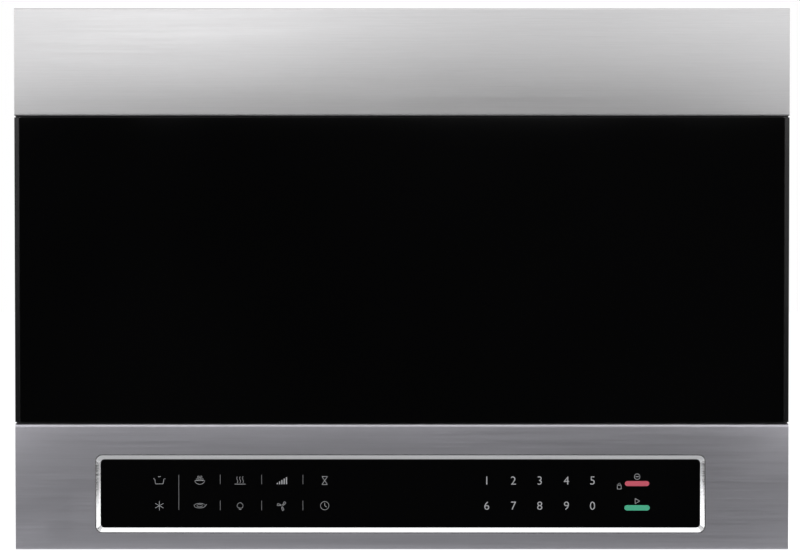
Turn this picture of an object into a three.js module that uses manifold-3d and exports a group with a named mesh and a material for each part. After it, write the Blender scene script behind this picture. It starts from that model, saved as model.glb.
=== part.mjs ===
// Over-the-range microwave oven of the 24 inch class: a fixed vent band above, a glass door hinged on
// its left, and a fixed control band below.
// Millimetres, +Z up, +X to the viewer's right. The front faces -Y.
// The origin is the centre of the wall plate's back face, on the wall.

import * as THREE from "three";
import { mergeVertices } from "three/addons/utils/BufferGeometryUtils.js";
import Module from "manifold-3d";

// ---------------------------------------------------------------- driving dimensions

// overall
const WIDTH = 606;
const HEIGHT = 424;
const DEPTH = 394;

// clearances
const SEAT = 0.3; // left where two pieces bear on each other
const RUN = 0.6; // left round a piece that turns or slides
const THROUGH = 1; // how far a cutter passes a face
const SUNK = 1; // how far shapes of one piece run into each other
const FULL_ROUND = 0.98; // share of half its width by which a slot's ends are rounded

// case
const SHEET = 1;
const WRAP_INSET = 3;
const WRAP_CORNER = 4;
const FRONT_DEPTH = 45;
const BASE_RISE = 4;
const BASE_FLANGE = 12;
const REAR_SHEET = 0.8;
const CORD_HOLE_RADIUS = 9;
const CORD_FROM_SIDE = 41;
const CORD_INSET = 40;
const BUSHING_DEPTH = 6;
const BUSHING_WALL = 4;
const BUSHING_FLANGE = 3;
const CABINET_BOLT_RADIUS = 4.5;
const CABINET_BOLT_FROM_SIDE = 75;
const CABINET_BOLT_INSET = 92;

// wall plate
const PLATE_STANDOFF = 8;
const PLATE_SHEET = 1.5;
const PLATE_SIDE_INSET = 23;
const PLATE_END_INSET = 26;
const LAG_RADIUS = 3.5;
const LAG_PITCH = 203;
const TOGGLE_SLOT = 40;
const HOOK_FROM_SIDE = 98;
const HOOK_WIDTH = 40;
const HOOK_SHEET = 2;
const HOOK_RISE = 9;
const HOOK_ABOVE_EDGE = 16;

// bands and door, from the bottom edge up
const FASCIA_HEIGHT = 99;
const VENT_HEIGHT = 84;
const DOOR_GAP = 1.2;
const BAND_SHEET = 1.2;
const BAND_LIP = 8;
const FASCIA_ROLL = 3;
const BAND_EDGE = 1.5;

// oven
const BAY_WIDTH = 92; // right of the oven, for the microwave source
const OVEN_BELOW_TOP = 104.5; // over the oven, for the blower
const OVEN_FROM_WALL = 48;
const CAVITY_SHEET = 1;
const CAVITY_CORNER = 10;
const LEFT_DUCT = 28;
const DOOR_LAP = 19.3;
const TRACK_DEPTH = 2;
const SHAFT_HOLE_RADIUS = 9;
const CAVITY_VENTS = 5;
const CAVITY_VENT_LENGTH = 60;
const CAVITY_VENT_WIDTH = 4;
const CAVITY_VENT_PITCH = 12;
const CAVITY_VENT_BELOW = 40;
const LAMP_INSET = 58;
const LAMP_BELOW = 44;
const LAMP_HOLES = 3; // each way
const LAMP_HOLE_PITCH = 8;
const LAMP_HOLE_RADIUS = 2;
const LAMP_PLATE = 1.5;
const LAMP_PLATE_WIDTH = 60;
const LAMP_PLATE_HEIGHT = 44;
const LAMP_WINDOW_WIDTH = 36;
const LAMP_WINDOW_HEIGHT = 28;
const LAMP_OUT = 15; // from the plate's back to the bulb's axis
const LAMP_HOLDER_RADIUS = 10;
const LAMP_HOLDER_LENGTH = 38;
const LAMP_TAB_REACH = 28;
const LAMP_TAB_HEIGHT = 24;
const LAMP_TAB = 2;
const LAMP_BULB_RADIUS = 10;
const LAMP_BULB_LENGTH = 32;

// control window
const BEZEL_WIDTH = 478;
const BEZEL_HEIGHT = 61.2;
const BEZEL_X = -1.2;
const BEZEL_ABOVE_EDGE = 43.9;
const BEZEL_CORNER = 5;
const BEZEL_CHAMFER = 3.3;
const BEZEL_RIM = 0.4;
const BEZEL_DEPTH = 2.5;
const BEZEL_BACK = 4;
const GLASS_LAP = 3;
const TOUCH_GLASS = 3;
const TOUCH_CORNER = 3;
const DISPLAY_WIDTH = 92;
const DISPLAY_HEIGHT = 36;
const DISPLAY_X = 4;
const BOARD_WIDTH = 440;
const BOARD_HEIGHT = 52;
const BOARD_THICK = 1.6;
const BOARD_STANDOFF = 7;
const BOARD_POST = 10;
const BOARD_POST_INSET = 14;
const BOARD_POST_HEIGHT = 42;
const BOARD_PART_HEIGHT = 32;
// place, width and depth of the power block, two relays, processor, plug and second power block
const BOARD_PARTS = [
  [-170, 34, 20], [-120, 18, 14], [-92, 18, 14], [-30, 26, 9], [60, 22, 12], [120, 30, 16],
];

// vent outlet
const OUTLET_SLOTS = 24;
const OUTLET_END = 27; // left at each end of the row
const OUTLET_WIDTH = 15;
const OUTLET_LENGTH = 25;
const GRILLE_DEPTH = 12;
const GRILLE_WALL = 2;
const GRILLE_VANES = 3;
const GRILLE_RIBS = 3;
const GRILLE_RIB = 2;
const GRILLE_LAP = 4;
const VANE_THICK = 1.2;
const VANE_HEIGHT = 9;
const VANE_TILT = 28.6; // degrees
const CHARCOAL_WIDTH = 300;
const CHARCOAL_HEIGHT = 62;
const CHARCOAL_THICK = 14;
const CHARCOAL_FRAME = 8;
const CHARCOAL_RECESS = 2;
const VENT_OPENING_WIDTH = 284;
const VENT_OPENING_HEIGHT = 50;
const VENT_OPENING_CORNER = 4;

// door
const DOOR_THICK = 40;
const DOOR_GLASS = 4;
const DOOR_GLASS_CORNER = 1;
const DOOR_LIP = 3.5;
const DOOR_WALL = 3;
const DOOR_WEB = 2.5;
const HINGE_X_INSET = 12;
const HINGE_Y_INSET = 18;
const PIN_RADIUS = 4;
const PIN_REACH = 14;
const PIN_END_GAP = 1;
const BOSS_WIDTH = 18;
const BOSS_HEIGHT = 17;
const HINGE_PLATE = 2;
const HINGE_WIDTH = 32;
const HINGE_FLANGE = 34;
const HINGE_CORNER = 3;
const POCKET_DEPTH = 17;
const POCKET_THROAT = 19;
const POCKET_HEIGHT = 110;
const WINDOW_SIDE = 27; // frame between the oven's side and the window
const WINDOW_END = 20;
const WINDOW_CORNER = 6;
const SCREEN_LAP = 5;
const SCREEN_THICK = 0.8;
const CHOKE_LAP_LEFT = 8;
const CHOKE_LAP_RIGHT = 26;
const CHOKE_LAP_TOP = 13;
const CHOKE_WALL = 14;
const CHOKE_LIP = 7;
const CHOKE_SLOTS = 10;
const CHOKE_SLOT = 6;
const COVER_THICK = 2;
const COVER_CORNER = 3;

// latch
const LATCH_FROM_SIDE = 28;
const LATCH_TRAVEL = 3.5;
const HOOK_THICK = 4;
const WIDE_HOOK = 15;
const HOOK_ARM = 8;
const HOOK_NOSE = 4;
const HOOK_TIP = 6;
const HOOK_BEVEL = 2.5;
const HOOK_PAST_FRAME = 22;
const UPPER_HOOK_BELOW_VENT = 60;
const LOWER_HOOK_ABOVE_FASCIA = 47;
const CARRIER_WIDTH = 9;
const CARRIER_DEPTH = 8;
const CARRIER_OVERRUN = 14;
const CARRIER_GAP = 3; // between the carrier and the cover
const LATCH_RIB = 2;
const LATCH_RIB_HEIGHT = 6;
const SPRING_RADIUS = 3.4;
const SPRING_WIRE = 0.6;
const SPRING_TURNS = 5;
const SPRING_LENGTH = 16;
const SPRING_POST = 8;
const SPRING_POST_CLEARANCE = 1;
const SPRING_SEAT = 12;
const SPRING_SEAT_THICK = 3;

// interlock
const BRACKET_THICK = 2.5;
const BRACKET_SIDE_GAP = 4;
const BRACKET_WEB = 14;
const SWITCH_LONG = 27.8;
const SWITCH_DEEP = 15.9;
const SWITCH_THICK = 10.2;
const SWITCH_HOLE_RADIUS = 1.5;
const SWITCH_HOLE_INSET = 3;
const SWITCH_BLADE_PITCH = 9;
const SWITCH_BLADE_WIDTH = 5;
const SWITCH_BLADE_THICK = 0.8;
const SWITCH_BLADE_LENGTH = 7;
const PLUNGER_WIDTH = 3.2;
const PLUNGER_REACH = 3;
const PLUNGER_TRAVEL = 1;
const PLUNGER_WELL = 4;

// turntable
const TRAY_CLEARANCE = 6; // from the oven's front and back
const TRAY_THICK = 5;
const TRAY_RIM = 9;
const TRAY_FLARE = 16;
const ROLLER_RADIUS = 7;
const ROLLER_INSIDE_TRACK = 16;
const TRACK_INSIDE_TRAY = 32;
const ROLLER_WIDTH = 7;
const ROLLER_BORE = 2.6;
const AXLE_RADIUS = 2;
const AXLE_STOP = 1.6;
const RING_INSIDE_ROLLERS = 16;
const RING_SECTION = 3;
const ROLLERS = 3;
const HUB_RADIUS = 7;
const LOBES = 3;
const LOBE_REACH = 17;
const LOBE_WIDTH = 8;
const LOBE_HEIGHT = 6;
const LUG_WIDTH = 10;
const LUG_THICK = 6;
const STEM_DROP = 6;
const MOTOR_RADIUS = 24;
const MOTOR_HEIGHT = 17;
const MOTOR_EAR = 32;
const MOTOR_EAR_WIDTH = 12;
const MOTOR_EAR_THICK = 1.5;
const MOTOR_WELL = 10;

// microwave source
const GUIDE_DEPTH = 54;
const GUIDE_WIDTH = 80;
const GUIDE_BELOW_ROOF = 50;
const GUIDE_ABOVE_FLOOR = 32;
const GUIDE_SHEET = 1.2;
const GUIDE_FLANGE = 9;
const GUIDE_FROM_WALL = 111;
const PORT_HEIGHT = 40;
const MICA = 0.6;
const MICA_LAP = 7;
const MICA_CORNER = 5;
const YOKE_WIDTH = 62;
const YOKE_DEPTH = 88;
const YOKE_HEIGHT = 50;
const YOKE_SHEET = 1.6;
const ANTENNA_RADIUS = 7;
const ANTENNA_LENGTH = 22;
const ANTENNA_TIP_RADIUS = 4.9;
const ANTENNA_STEP = 2;
const ANTENNA_CLEARANCE = 3;
const ANODE_RADIUS = 18;
const FINS = 5;
const FIN_THICK = 0.8;
const FIN_INSET = 6;
const FILTER_BOX_HEIGHT = 22;
const FILTER_BOX_INSET = 5;
const CONNECTOR_WIDTH = 22;
const CONNECTOR_HEIGHT = 12;
const CONNECTOR_REACH = 9;
const CORE_WIDTH = 80;
const CORE_HEIGHT = 66;
const CORE_STACK = 50;
const CORE_LEG = 26;
const CORE_YOKE = 7;
const WINDING_BUILD = 11;
const WINDING_GAP = 3;
const WINDING_CORNER = 6;
const TRANSFORMER_FROM_WALL = 109;
const CAPACITOR_LONG = 50;
const CAPACITOR_WIDE = 30;
const CAPACITOR_TALL = 88;
const CAPACITOR_INSET = 60;
const TERMINAL_PITCH = 18;
const TERMINAL_WIDTH = 6;
const TERMINAL_THICK = 1;
const TERMINAL_LENGTH = 9;
const FAN_SIZE = 84;
const FAN_DEPTH = 22;
const FAN_INSET = 58;
const FAN_BELOW_TOP = 127;
const FAN_CORNER = 6;
const FAN_BLADES = 5;
const FAN_BLADE_WIDTH = 17;
const FAN_BLADE_THICK = 1.2;
const FAN_BLADE_PITCH = 34.4; // degrees
const FAN_SPOKES = 3;
const FAN_SPOKE_WIDTH = 5;
const FAN_SPOKE_THICK = 3;
const FAN_HUB = 15;
const FAN_HUB_THICK = 6;
const FAN_HUB_INSET = 2;
const FAN_CLEARANCE = 2;
const FAN_WALL = 3;

// extraction
const DUCT_WIDTH = 254;
const DUCT_DEPTH = 83;
const COLLAR_WALL = 4;
const COLLAR_HEIGHT = 11.7;
const COLLAR_INSET = 10;
const COLLAR_LEDGE = 3;
const COLLAR_LEDGE_THICK = 1.2;
const FLAP_FROM_WALL = 5;
const FLAP_TAIL = 2;
const FLAP_THICK = 1;
const FLAP_PIVOT_RADIUS = 1.5;
const SCROLL_WIDTH = 70;
const SCROLL_WALL = 1.5;
const SCROLL_START = 41;
const SCROLL_END = 49;
const SCROLL_INLET = 29;
const WHEEL_RADIUS = 36;
const WHEEL_BORE = 29;
const WHEEL_WIDTH = 54;
const WHEEL_BLADES = 16;
const WHEEL_DISC = 1.5;
const WHEEL_RIM = 2;
const WHEEL_HUB = 14;
const WHEEL_HUB_WALL = 5;
const BLADE_THICK = 0.9;
const BLADE_EDGE = 0.6; // left between a blade's edges and the rim's
const BLADE_LEAD = 12; // degrees that a blade's outer edge leads its inner edge
const SHAFT_RADIUS = 4;
const SHAFT_PAST_WHEEL = 16;
const BLOWER_MOTOR_RADIUS = 33;
const BLOWER_MOTOR_LENGTH = 62;
const BLOWER_MOTOR_NECK = 8;
const BLOWER_MOTOR_NECK_WALL = 7;
const BLOWER_MOTOR_SHOULDER = 7;
const BLOWER_BRACKET_WIDTH = 30;
const BLOWER_BRACKET_DEPTH = 36;
const BLOWER_FOOT_WIDTH = 70;
const BLOWER_FOOT_THICK = 2;

// underside
const FILTER_LEFT_INSET = 24; // from the case's side
const FILTER_RIGHT_INSET = 20; // from the bay
const FILTER_SPACE = 144; // between the two, for the lamp
const FILTER_FRONT_INSET = 85;
const FILTER_FROM_WALL = 34;
const FILTER_THICK = 9;
const FILTER_FRAME = 8;
const FILTER_CORE = 3;
const FILTER_RIBS = 5;
const FILTER_LIP = 5;
const FILTER_RIB = 2;
const FILTER_PULL_WIDTH = 20;
const FILTER_PULL_DROP = 2;
const LENS_WIDTH = 104;
const LENS_LENGTH = 72;
const LENS_THICK = 3;
const LENS_MARGIN = 7;
const LENS_INSET = 66;
const LENS_PIVOT = 3.5;
const LENS_PIN = 1.5;
const LENS_PIVOT_INSET = 2;
const LENS_EAR = 2; // left round the pin's hole
const LENS_KNUCKLE = 8;
const COOKTOP_BULB_RADIUS = 14;
const COOKTOP_BULB_LENGTH = 51;
const COOKTOP_BULB_ABOVE = 22;
const COOKTOP_LAMP_GAP = 8;
const COOKTOP_ANGLE_WIDTH = 34;
const COOKTOP_ANGLE_ABOVE = 14;
const COOKTOP_ANGLE_THICK = 4;
const COOKTOP_FOOT = 14;
const COOKTOP_FOOT_THICK = 2;
const COOKTOP_HOLDER_RADIUS = 12;
const COOKTOP_HOLDER_BACK = 16;
const COOKTOP_HOLDER_FRONT = 6;
const INTAKE_SLOTS = 6;
const INTAKE_PITCH = 14;
const INTAKE_WIDTH = 6;
const INTAKE_LENGTH = 52;
const INTAKE_FROM_SIDE = 49;
const INTAKE_INSET = 79;

// ---------------------------------------------------------------- places worked out from them

const half = WIDTH / 2;
const zBottom = -HEIGHT / 2;
const zTop = HEIGHT / 2;
const yFront = -DEPTH;
const yFrame = yFront + FRONT_DEPTH;
const yRear = -PLATE_STANDOFF - SEAT;
const caseHalf = half - WRAP_INSET;
const insideHalf = caseHalf - SHEET - SEAT;
const zBase = zBottom + BASE_RISE;
const zBaseTop = zBase + SHEET;
const zRoof = zTop - SHEET;
const plateWidth = WIDTH - 2 * PLATE_SIDE_INSET;
const plateHeight = HEIGHT - 2 * PLATE_END_INSET;
const xPlateHook = half - HOOK_FROM_SIDE;
const xCord = half - CORD_FROM_SIDE;
const xCabinetBolt = half - CABINET_BOLT_FROM_SIDE;

const zFasciaTop = zBottom + FASCIA_HEIGHT;
const zVentBottom = zTop - VENT_HEIGHT;
const zDoorBottom = zFasciaTop + DOOR_GAP;
const zDoorTop = zVentBottom - DOOR_GAP;
const yDoorBack = yFront + DOOR_THICK;

const yCavityFront = yFrame + SHEET + SEAT;
const yCavityBack = -OVEN_FROM_WALL;
const xCavityLeft = -caseHalf + LEFT_DUCT;
const xCavityRight = caseHalf - BAY_WIDTH;
const zFloor = zDoorBottom + DOOR_LAP;
const zCeiling = zTop - OVEN_BELOW_TOP;
const xOven = (xCavityLeft + xCavityRight) / 2;
const yOven = (yFrame + SHEET + yCavityBack) / 2;
const xBay = xCavityRight + CAVITY_SHEET + SEAT;
const zTrack = zFloor - TRACK_DEPTH;
const yLamp = yCavityFront + LAMP_INSET;
const zLamp = zCeiling - LAMP_BELOW;
const trayRadius = (yCavityBack - yFrame - SHEET) / 2 - TRAY_CLEARANCE;
const trackRadius = trayRadius - TRACK_INSIDE_TRAY;
const rollerTrack = trackRadius - ROLLER_INSIDE_TRACK;
const ringRadius = rollerTrack - RING_INSIDE_ROLLERS;

const zBezel = zBottom + BEZEL_ABOVE_EDGE;
const yTouch = yFront + BEZEL_BACK + SEAT;
const xHinge = -half + HINGE_X_INSET;
const yHinge = yFront + HINGE_Y_INSET;
const yWeb = yFront + DOOR_GLASS + SEAT;
const yPocket = yWeb + DOOR_WEB + DOOR_WALL;
const windowX = [xCavityLeft + WINDOW_SIDE, xCavityRight - WINDOW_SIDE];
const windowZ = [zFloor + WINDOW_END, zCeiling - WINDOW_END];
const xLatch = half - LATCH_FROM_SIDE;
const zUpperHook = zVentBottom - UPPER_HOOK_BELOW_VENT;
const zLowerHook = zFasciaTop + LOWER_HOOK_ABOVE_FASCIA;
const yHookTip = yFrame + HOOK_PAST_FRAME;
const outletPitch = (WIDTH - 2 * OUTLET_END) / OUTLET_SLOTS;

const yGuide = -GUIDE_FROM_WALL - GUIDE_WIDTH / 2;
const zGuideTop = zCeiling - GUIDE_BELOW_ROOF;
const zGuideBottom = zFloor + GUIDE_ABOVE_FLOOR;
const zPort = zGuideBottom + PORT_HEIGHT / 2 + GUIDE_FLANGE;
const xMagnetron = xBay + YOKE_WIDTH / 2 + SEAT;
const zYoke = zGuideTop + SEAT;

const yCollar = yRear - REAR_SHEET - COLLAR_INSET - DUCT_DEPTH / 2;
const zCollar = zTop - COLLAR_HEIGHT;
const zScrollTop = zCollar - SEAT;
const yScroll = yCollar + DUCT_DEPTH / 2 - SCROLL_START;
const zScroll = zCeiling + CAVITY_SHEET + SEAT + SCROLL_WALL + (SCROLL_START + SCROLL_END) / 2;
const filterX = [-caseHalf + FILTER_LEFT_INSET, xCavityRight - FILTER_RIGHT_INSET];
const filterWidth = (filterX[1] - filterX[0] - FILTER_SPACE) / 2;
const filterY = [yFrame + FILTER_FRONT_INSET, -FILTER_FROM_WALL];
const filterLength = filterY[1] - filterY[0];
const yFilter = (filterY[0] + filterY[1]) / 2;
const xFilterLeft = filterX[0] + filterWidth / 2;
const xFilterRight = filterX[1] - filterWidth / 2;
const xLens = filterX[1] - filterWidth - LENS_MARGIN - LENS_WIDTH / 2;
const xIntake = half - INTAKE_FROM_SIDE;

// ---------------------------------------------------------------- solids from three.js geometry

const wasm = await Module();
wasm.setup();

// a closed geometry as a solid; triangles that collapse on an axis are left out
function solid(geometry) {
  const bare = geometry.clone();
  bare.deleteAttribute("normal");
  bare.deleteAttribute("uv");
  const merged = mergeVertices(bare, 1e-4);
  const index = merged.index.array;
  const triangles = [];
  for (let i = 0; i < index.length; i += 3) {
    const [a, b, c] = [index[i], index[i + 1], index[i + 2]];
    if (a !== b && b !== c && c !== a) triangles.push(a, b, c);
  }
  const vertProperties = Float32Array.from(merged.attributes.position.array);
  const triVerts = Uint32Array.from(triangles);
  return new wasm.Manifold(new wasm.Mesh({ numProp: 3, vertProperties, triVerts }));
}

function geometryOf(shape) {
  const mesh = shape.getMesh();
  const geometry = new THREE.BufferGeometry();
  geometry.setAttribute("position", new THREE.BufferAttribute(Float32Array.from(mesh.vertProperties), 3));
  geometry.setIndex(new THREE.BufferAttribute(Uint32Array.from(mesh.triVerts), 1));
  geometry.computeVertexNormals();
  return geometry;
}

function join(first, ...others) {
  return others.reduce((sum, shape) => sum.add(shape), first);
}

function cut(first, ...others) {
  return others.reduce((rest, shape) => rest.subtract(shape), first);
}

// a box between two values on each axis
function block(x, y, z) {
  const geometry = new THREE.BoxGeometry(x[1] - x[0], y[1] - y[0], z[1] - z[0]);
  geometry.translate((x[0] + x[1]) / 2, (y[0] + y[1]) / 2, (z[0] + z[1]) / 2);
  return solid(geometry);
}

// turns a geometry built along +Z so that its length lies along the named axis
// x: the outline's axes are Y and Z. y: they are X and Z. z: they are X and Y.
function lay(geometry, axis, from, to) {
  const turn = new THREE.Matrix4();
  if (axis === "x") {
    turn.makeBasis(new THREE.Vector3(0, 1, 0), new THREE.Vector3(0, 0, 1), new THREE.Vector3(1, 0, 0));
    turn.setPosition(from, 0, 0);
  } else if (axis === "y") {
    turn.makeBasis(new THREE.Vector3(1, 0, 0), new THREE.Vector3(0, 0, 1), new THREE.Vector3(0, -1, 0));
    turn.setPosition(0, to, 0);
  } else {
    turn.setPosition(0, 0, from);
  }
  return geometry.applyMatrix4(turn);
}

function extrude(shape, axis, [from, to], curveSegments = 2) {
  const options = { depth: to - from, bevelEnabled: false, curveSegments };
  return solid(lay(new THREE.ExtrudeGeometry(shape, options), axis, from, to));
}

function rod(axis, [u, v], radius, [from, to], sides = 16) {
  const geometry = new THREE.CylinderGeometry(radius, radius, to - from, sides);
  geometry.rotateX(Math.PI / 2);
  geometry.translate(u, v, (to - from) / 2);
  return solid(lay(geometry, axis, from, to));
}

// a solid of revolution about Z; each point of the profile is [radius, height]
function turned(profile, sides = 32) {
  const points = profile.map(([r, z]) => new THREE.Vector2(r, z));
  const open = points[0].x === 0 && points[points.length - 1].x === 0;
  if (THREE.ShapeUtils.area(points) < 0) points.reverse();
  if (!open) points.push(points[0].clone());
  return solid(new THREE.LatheGeometry(points, sides).rotateX(Math.PI / 2));
}

// a rectangle, with its corners rounded if a radius is given
function rectangle(u, v, radius = 0) {
  const shape = new THREE.Shape();
  if (radius > 0) {
    shape.absarc(u[1] - radius, v[0] + radius, radius, -Math.PI / 2, 0);
    shape.absarc(u[1] - radius, v[1] - radius, radius, 0, Math.PI / 2);
    shape.absarc(u[0] + radius, v[1] - radius, radius, Math.PI / 2, Math.PI);
    shape.absarc(u[0] + radius, v[0] + radius, radius, Math.PI, 1.5 * Math.PI);
  } else {
    shape.moveTo(u[0], v[0]);
    shape.lineTo(u[1], v[0]);
    shape.lineTo(u[1], v[1]);
    shape.lineTo(u[0], v[1]);
  }
  return shape;
}

function polygon(points) {
  return new THREE.Shape(points.map(([u, v]) => new THREE.Vector2(u, v)));
}

// a solid between two outlines of as many points each, in planes across Y
function loftY(outlineA, yA, outlineB, yB) {
  const a = outlineA.getPoints(2);
  const b = outlineB.getPoints(2);
  const position = [];
  for (const p of a) position.push(p.x, yA, p.y);
  for (const p of b) position.push(p.x, yB, p.y);
  const count = a.length;
  const index = [];
  for (let i = 0; i < count; i++) {
    const next = (i + 1) % count;
    index.push(i, next, count + i, next, count + next, count + i);
  }
  for (const [p, q, r] of THREE.ShapeUtils.triangulateShape(a, [])) {
    index.push(p, r, q);
    index.push(count + p, count + q, count + r);
  }
  const geometry = new THREE.BufferGeometry();
  geometry.setAttribute("position", new THREE.Float32BufferAttribute(position, 3));
  geometry.setIndex(index.reverse());
  return solid(geometry);
}

function about(centre, width) {
  return [centre - width / 2, centre + width / 2];
}

function grown([low, high], by) {
  return [low - by, high + by];
}

// ---------------------------------------------------------------- finishes

const BRUSHED = { color: 0xb9b5b0, roughness: 0.34, metalness: 1 };
const FASCIA_STEEL = { color: 0x9a999c, roughness: 0.36, metalness: 1 };
const POLISHED = { color: 0xe6e6e8, roughness: 0.08, metalness: 1 };
const CASE_PAINT = { color: 0x2b2c2e, roughness: 0.55, metalness: 0.2 };
const GALVANISED = { color: 0xa9adae, roughness: 0.5, metalness: 0.9 };
const ENAMEL = { color: 0xc9c9c4, roughness: 0.4, metalness: 0.1 };
const BLACK_GLASS = { color: 0x060607, roughness: 0.05, metalness: 0 };
const CLEAR_GLASS = { color: 0xdfeee8, roughness: 0.05, metalness: 0 };
const BLACK_PLASTIC = { color: 0x17181a, roughness: 0.5, metalness: 0 };
const WHITE_PLASTIC = { color: 0xe8e6df, roughness: 0.45, metalness: 0 };
const GREY_PLASTIC = { color: 0x8f9294, roughness: 0.5, metalness: 0 };
const RED_PLASTIC = { color: 0x9c1f1c, roughness: 0.45, metalness: 0 };
const ALUMINIUM = { color: 0xc4c7c9, roughness: 0.35, metalness: 1 };
const STEEL = { color: 0x8d9094, roughness: 0.35, metalness: 1 };
const LAMINATION = { color: 0x45474a, roughness: 0.6, metalness: 0.6 };
const COPPER = { color: 0xa8552c, roughness: 0.4, metalness: 0.9 };
const MICA_SHEET = { color: 0xbba98a, roughness: 0.6, metalness: 0 };
const BOARD_GREEN = { color: 0x1e5a38, roughness: 0.5, metalness: 0 };
const CHARCOAL = { color: 0x1a1a1a, roughness: 0.95, metalness: 0 };
const LAMP_GLASS = { color: 0xf4ead2, roughness: 0.1, metalness: 0 };

function add(parent, name, shape, finish) {
  const mesh = new THREE.Mesh(geometryOf(shape), new THREE.MeshStandardMaterial(finish));
  mesh.name = name;
  parent.add(mesh);
  return mesh;
}

function groupAt(parent, x, y, z) {
  const group = new THREE.Group();
  group.position.set(x, y, z);
  parent.add(group);
  return group;
}

// ---------------------------------------------------------------- wall plate and case

// pressed steel plate lagged to the studs; its two hooks carry the rear panel
function wallPlate() {
  const x = about(0, plateWidth);
  const z = about(0, plateHeight);
  let plate = cut(
    block(x, [-PLATE_STANDOFF, 0], z),
    block(grown(x, THROUGH), [-PLATE_STANDOFF - THROUGH, -PLATE_SHEET], grown(z, -PLATE_SHEET)),
  );
  const zHook = zBase + HOOK_ABOVE_EDGE;
  const yReach = yRear - REAR_SHEET - RUN - HOOK_SHEET;
  for (const side of [-1, 1]) {
    const hookX = about(side * xPlateHook, HOOK_WIDTH);
    const shank = block(hookX, [yReach, -PLATE_SHEET], [zHook, zHook + HOOK_SHEET]);
    const tip = block(hookX, [yReach, yReach + HOOK_SHEET], [zHook, zHook + HOOK_RISE]);
    const web = block(hookX, [-PLATE_SHEET - THROUGH, 0], [zHook, Math.max(z[0], zHook) + HOOK_SHEET]);
    plate = join(plate, shank, tip, web);
    for (const row of [-1, 0, 1]) {
      const lag = [side * LAG_PITCH / 2, row * plateHeight / 3];
      plate = cut(plate, rod("y", lag, LAG_RADIUS, [-PLATE_STANDOFF, THROUGH], 8));
    }
    const slotX = about(side * plateWidth / 3, TOGGLE_SLOT);
    const slotZ = about(plateHeight / 3, 2 * LAG_RADIUS);
    const slot = rectangle(slotX, slotZ, LAG_RADIUS * FULL_ROUND);
    plate = cut(plate, extrude(slot, "y", [-PLATE_STANDOFF, THROUGH]));
  }
  return plate;
}

// flat panel that fills the wrap, with its upper corners rounded like the wrap's
function insidePanel(y) {
  return extrude(archway(insideHalf, zBase, zRoof - SEAT, WRAP_CORNER - SHEET), "y", y, 1);
}

// a rectangle centred on X with only its upper corners rounded
function archway(reach, low, high, radius) {
  const shape = new THREE.Shape();
  shape.moveTo(-reach, low);
  shape.lineTo(reach, low);
  shape.absarc(reach - radius, high - radius, radius, 0, Math.PI / 2);
  shape.absarc(-reach + radius, high - radius, radius, Math.PI / 2, Math.PI);
  return shape;
}

function rearPanel() {
  const y = [yRear - REAR_SHEET, yRear];
  let panel = insidePanel(y);
  const zHook = zBase + HOOK_ABOVE_EDGE;
  for (const side of [-1, 1]) {
    const slotX = grown(about(side * xPlateHook, HOOK_WIDTH), 2 * RUN);
    panel = cut(panel, block(slotX, grown(y, THROUGH), [zHook - SEAT, zHook + HOOK_RISE + RUN]));
  }
  return panel;
}

// one folded sheet: both sides and the top
function outerWrap() {
  const outside = extrude(archway(caseHalf, zBase, zTop, WRAP_CORNER), "y", [yFrame, yRear]);
  const inside = archway(caseHalf - SHEET, zBase - THROUGH, zRoof, WRAP_CORNER - SHEET);
  let wrap = cut(outside, extrude(inside, "y", grown([yFrame, yRear], THROUGH)));
  const neck = grown([zRoof, zTop], THROUGH);
  const ductX = about(0, DUCT_WIDTH + 2 * COLLAR_WALL + 2 * SEAT);
  const ductY = about(yCollar, DUCT_DEPTH + 2 * COLLAR_WALL + 2 * SEAT);
  wrap = cut(wrap, block(ductX, ductY, neck));
  wrap = cut(wrap, rod("z", [xCord, yRear - CORD_INSET], CORD_HOLE_RADIUS + SEAT, neck));
  for (const side of [-1, 1]) {
    const bolt = [side * xCabinetBolt, yFrame + CABINET_BOLT_INSET];
    wrap = cut(wrap, rod("z", bolt, CABINET_BOLT_RADIUS, neck, 12));
  }
  return wrap;
}

function lensOpening() {
  const yLensFront = yFrame + LENS_INSET;
  return {
    x: about(xLens, LENS_WIDTH),
    y: [yLensFront, yLensFront + LENS_LENGTH],
    yPivot: yLensFront + LENS_LENGTH - LENS_PIVOT_INSET,
    zPivot: zBase + LENS_PIVOT + 2 * LENS_PIN,
  };
}

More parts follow.
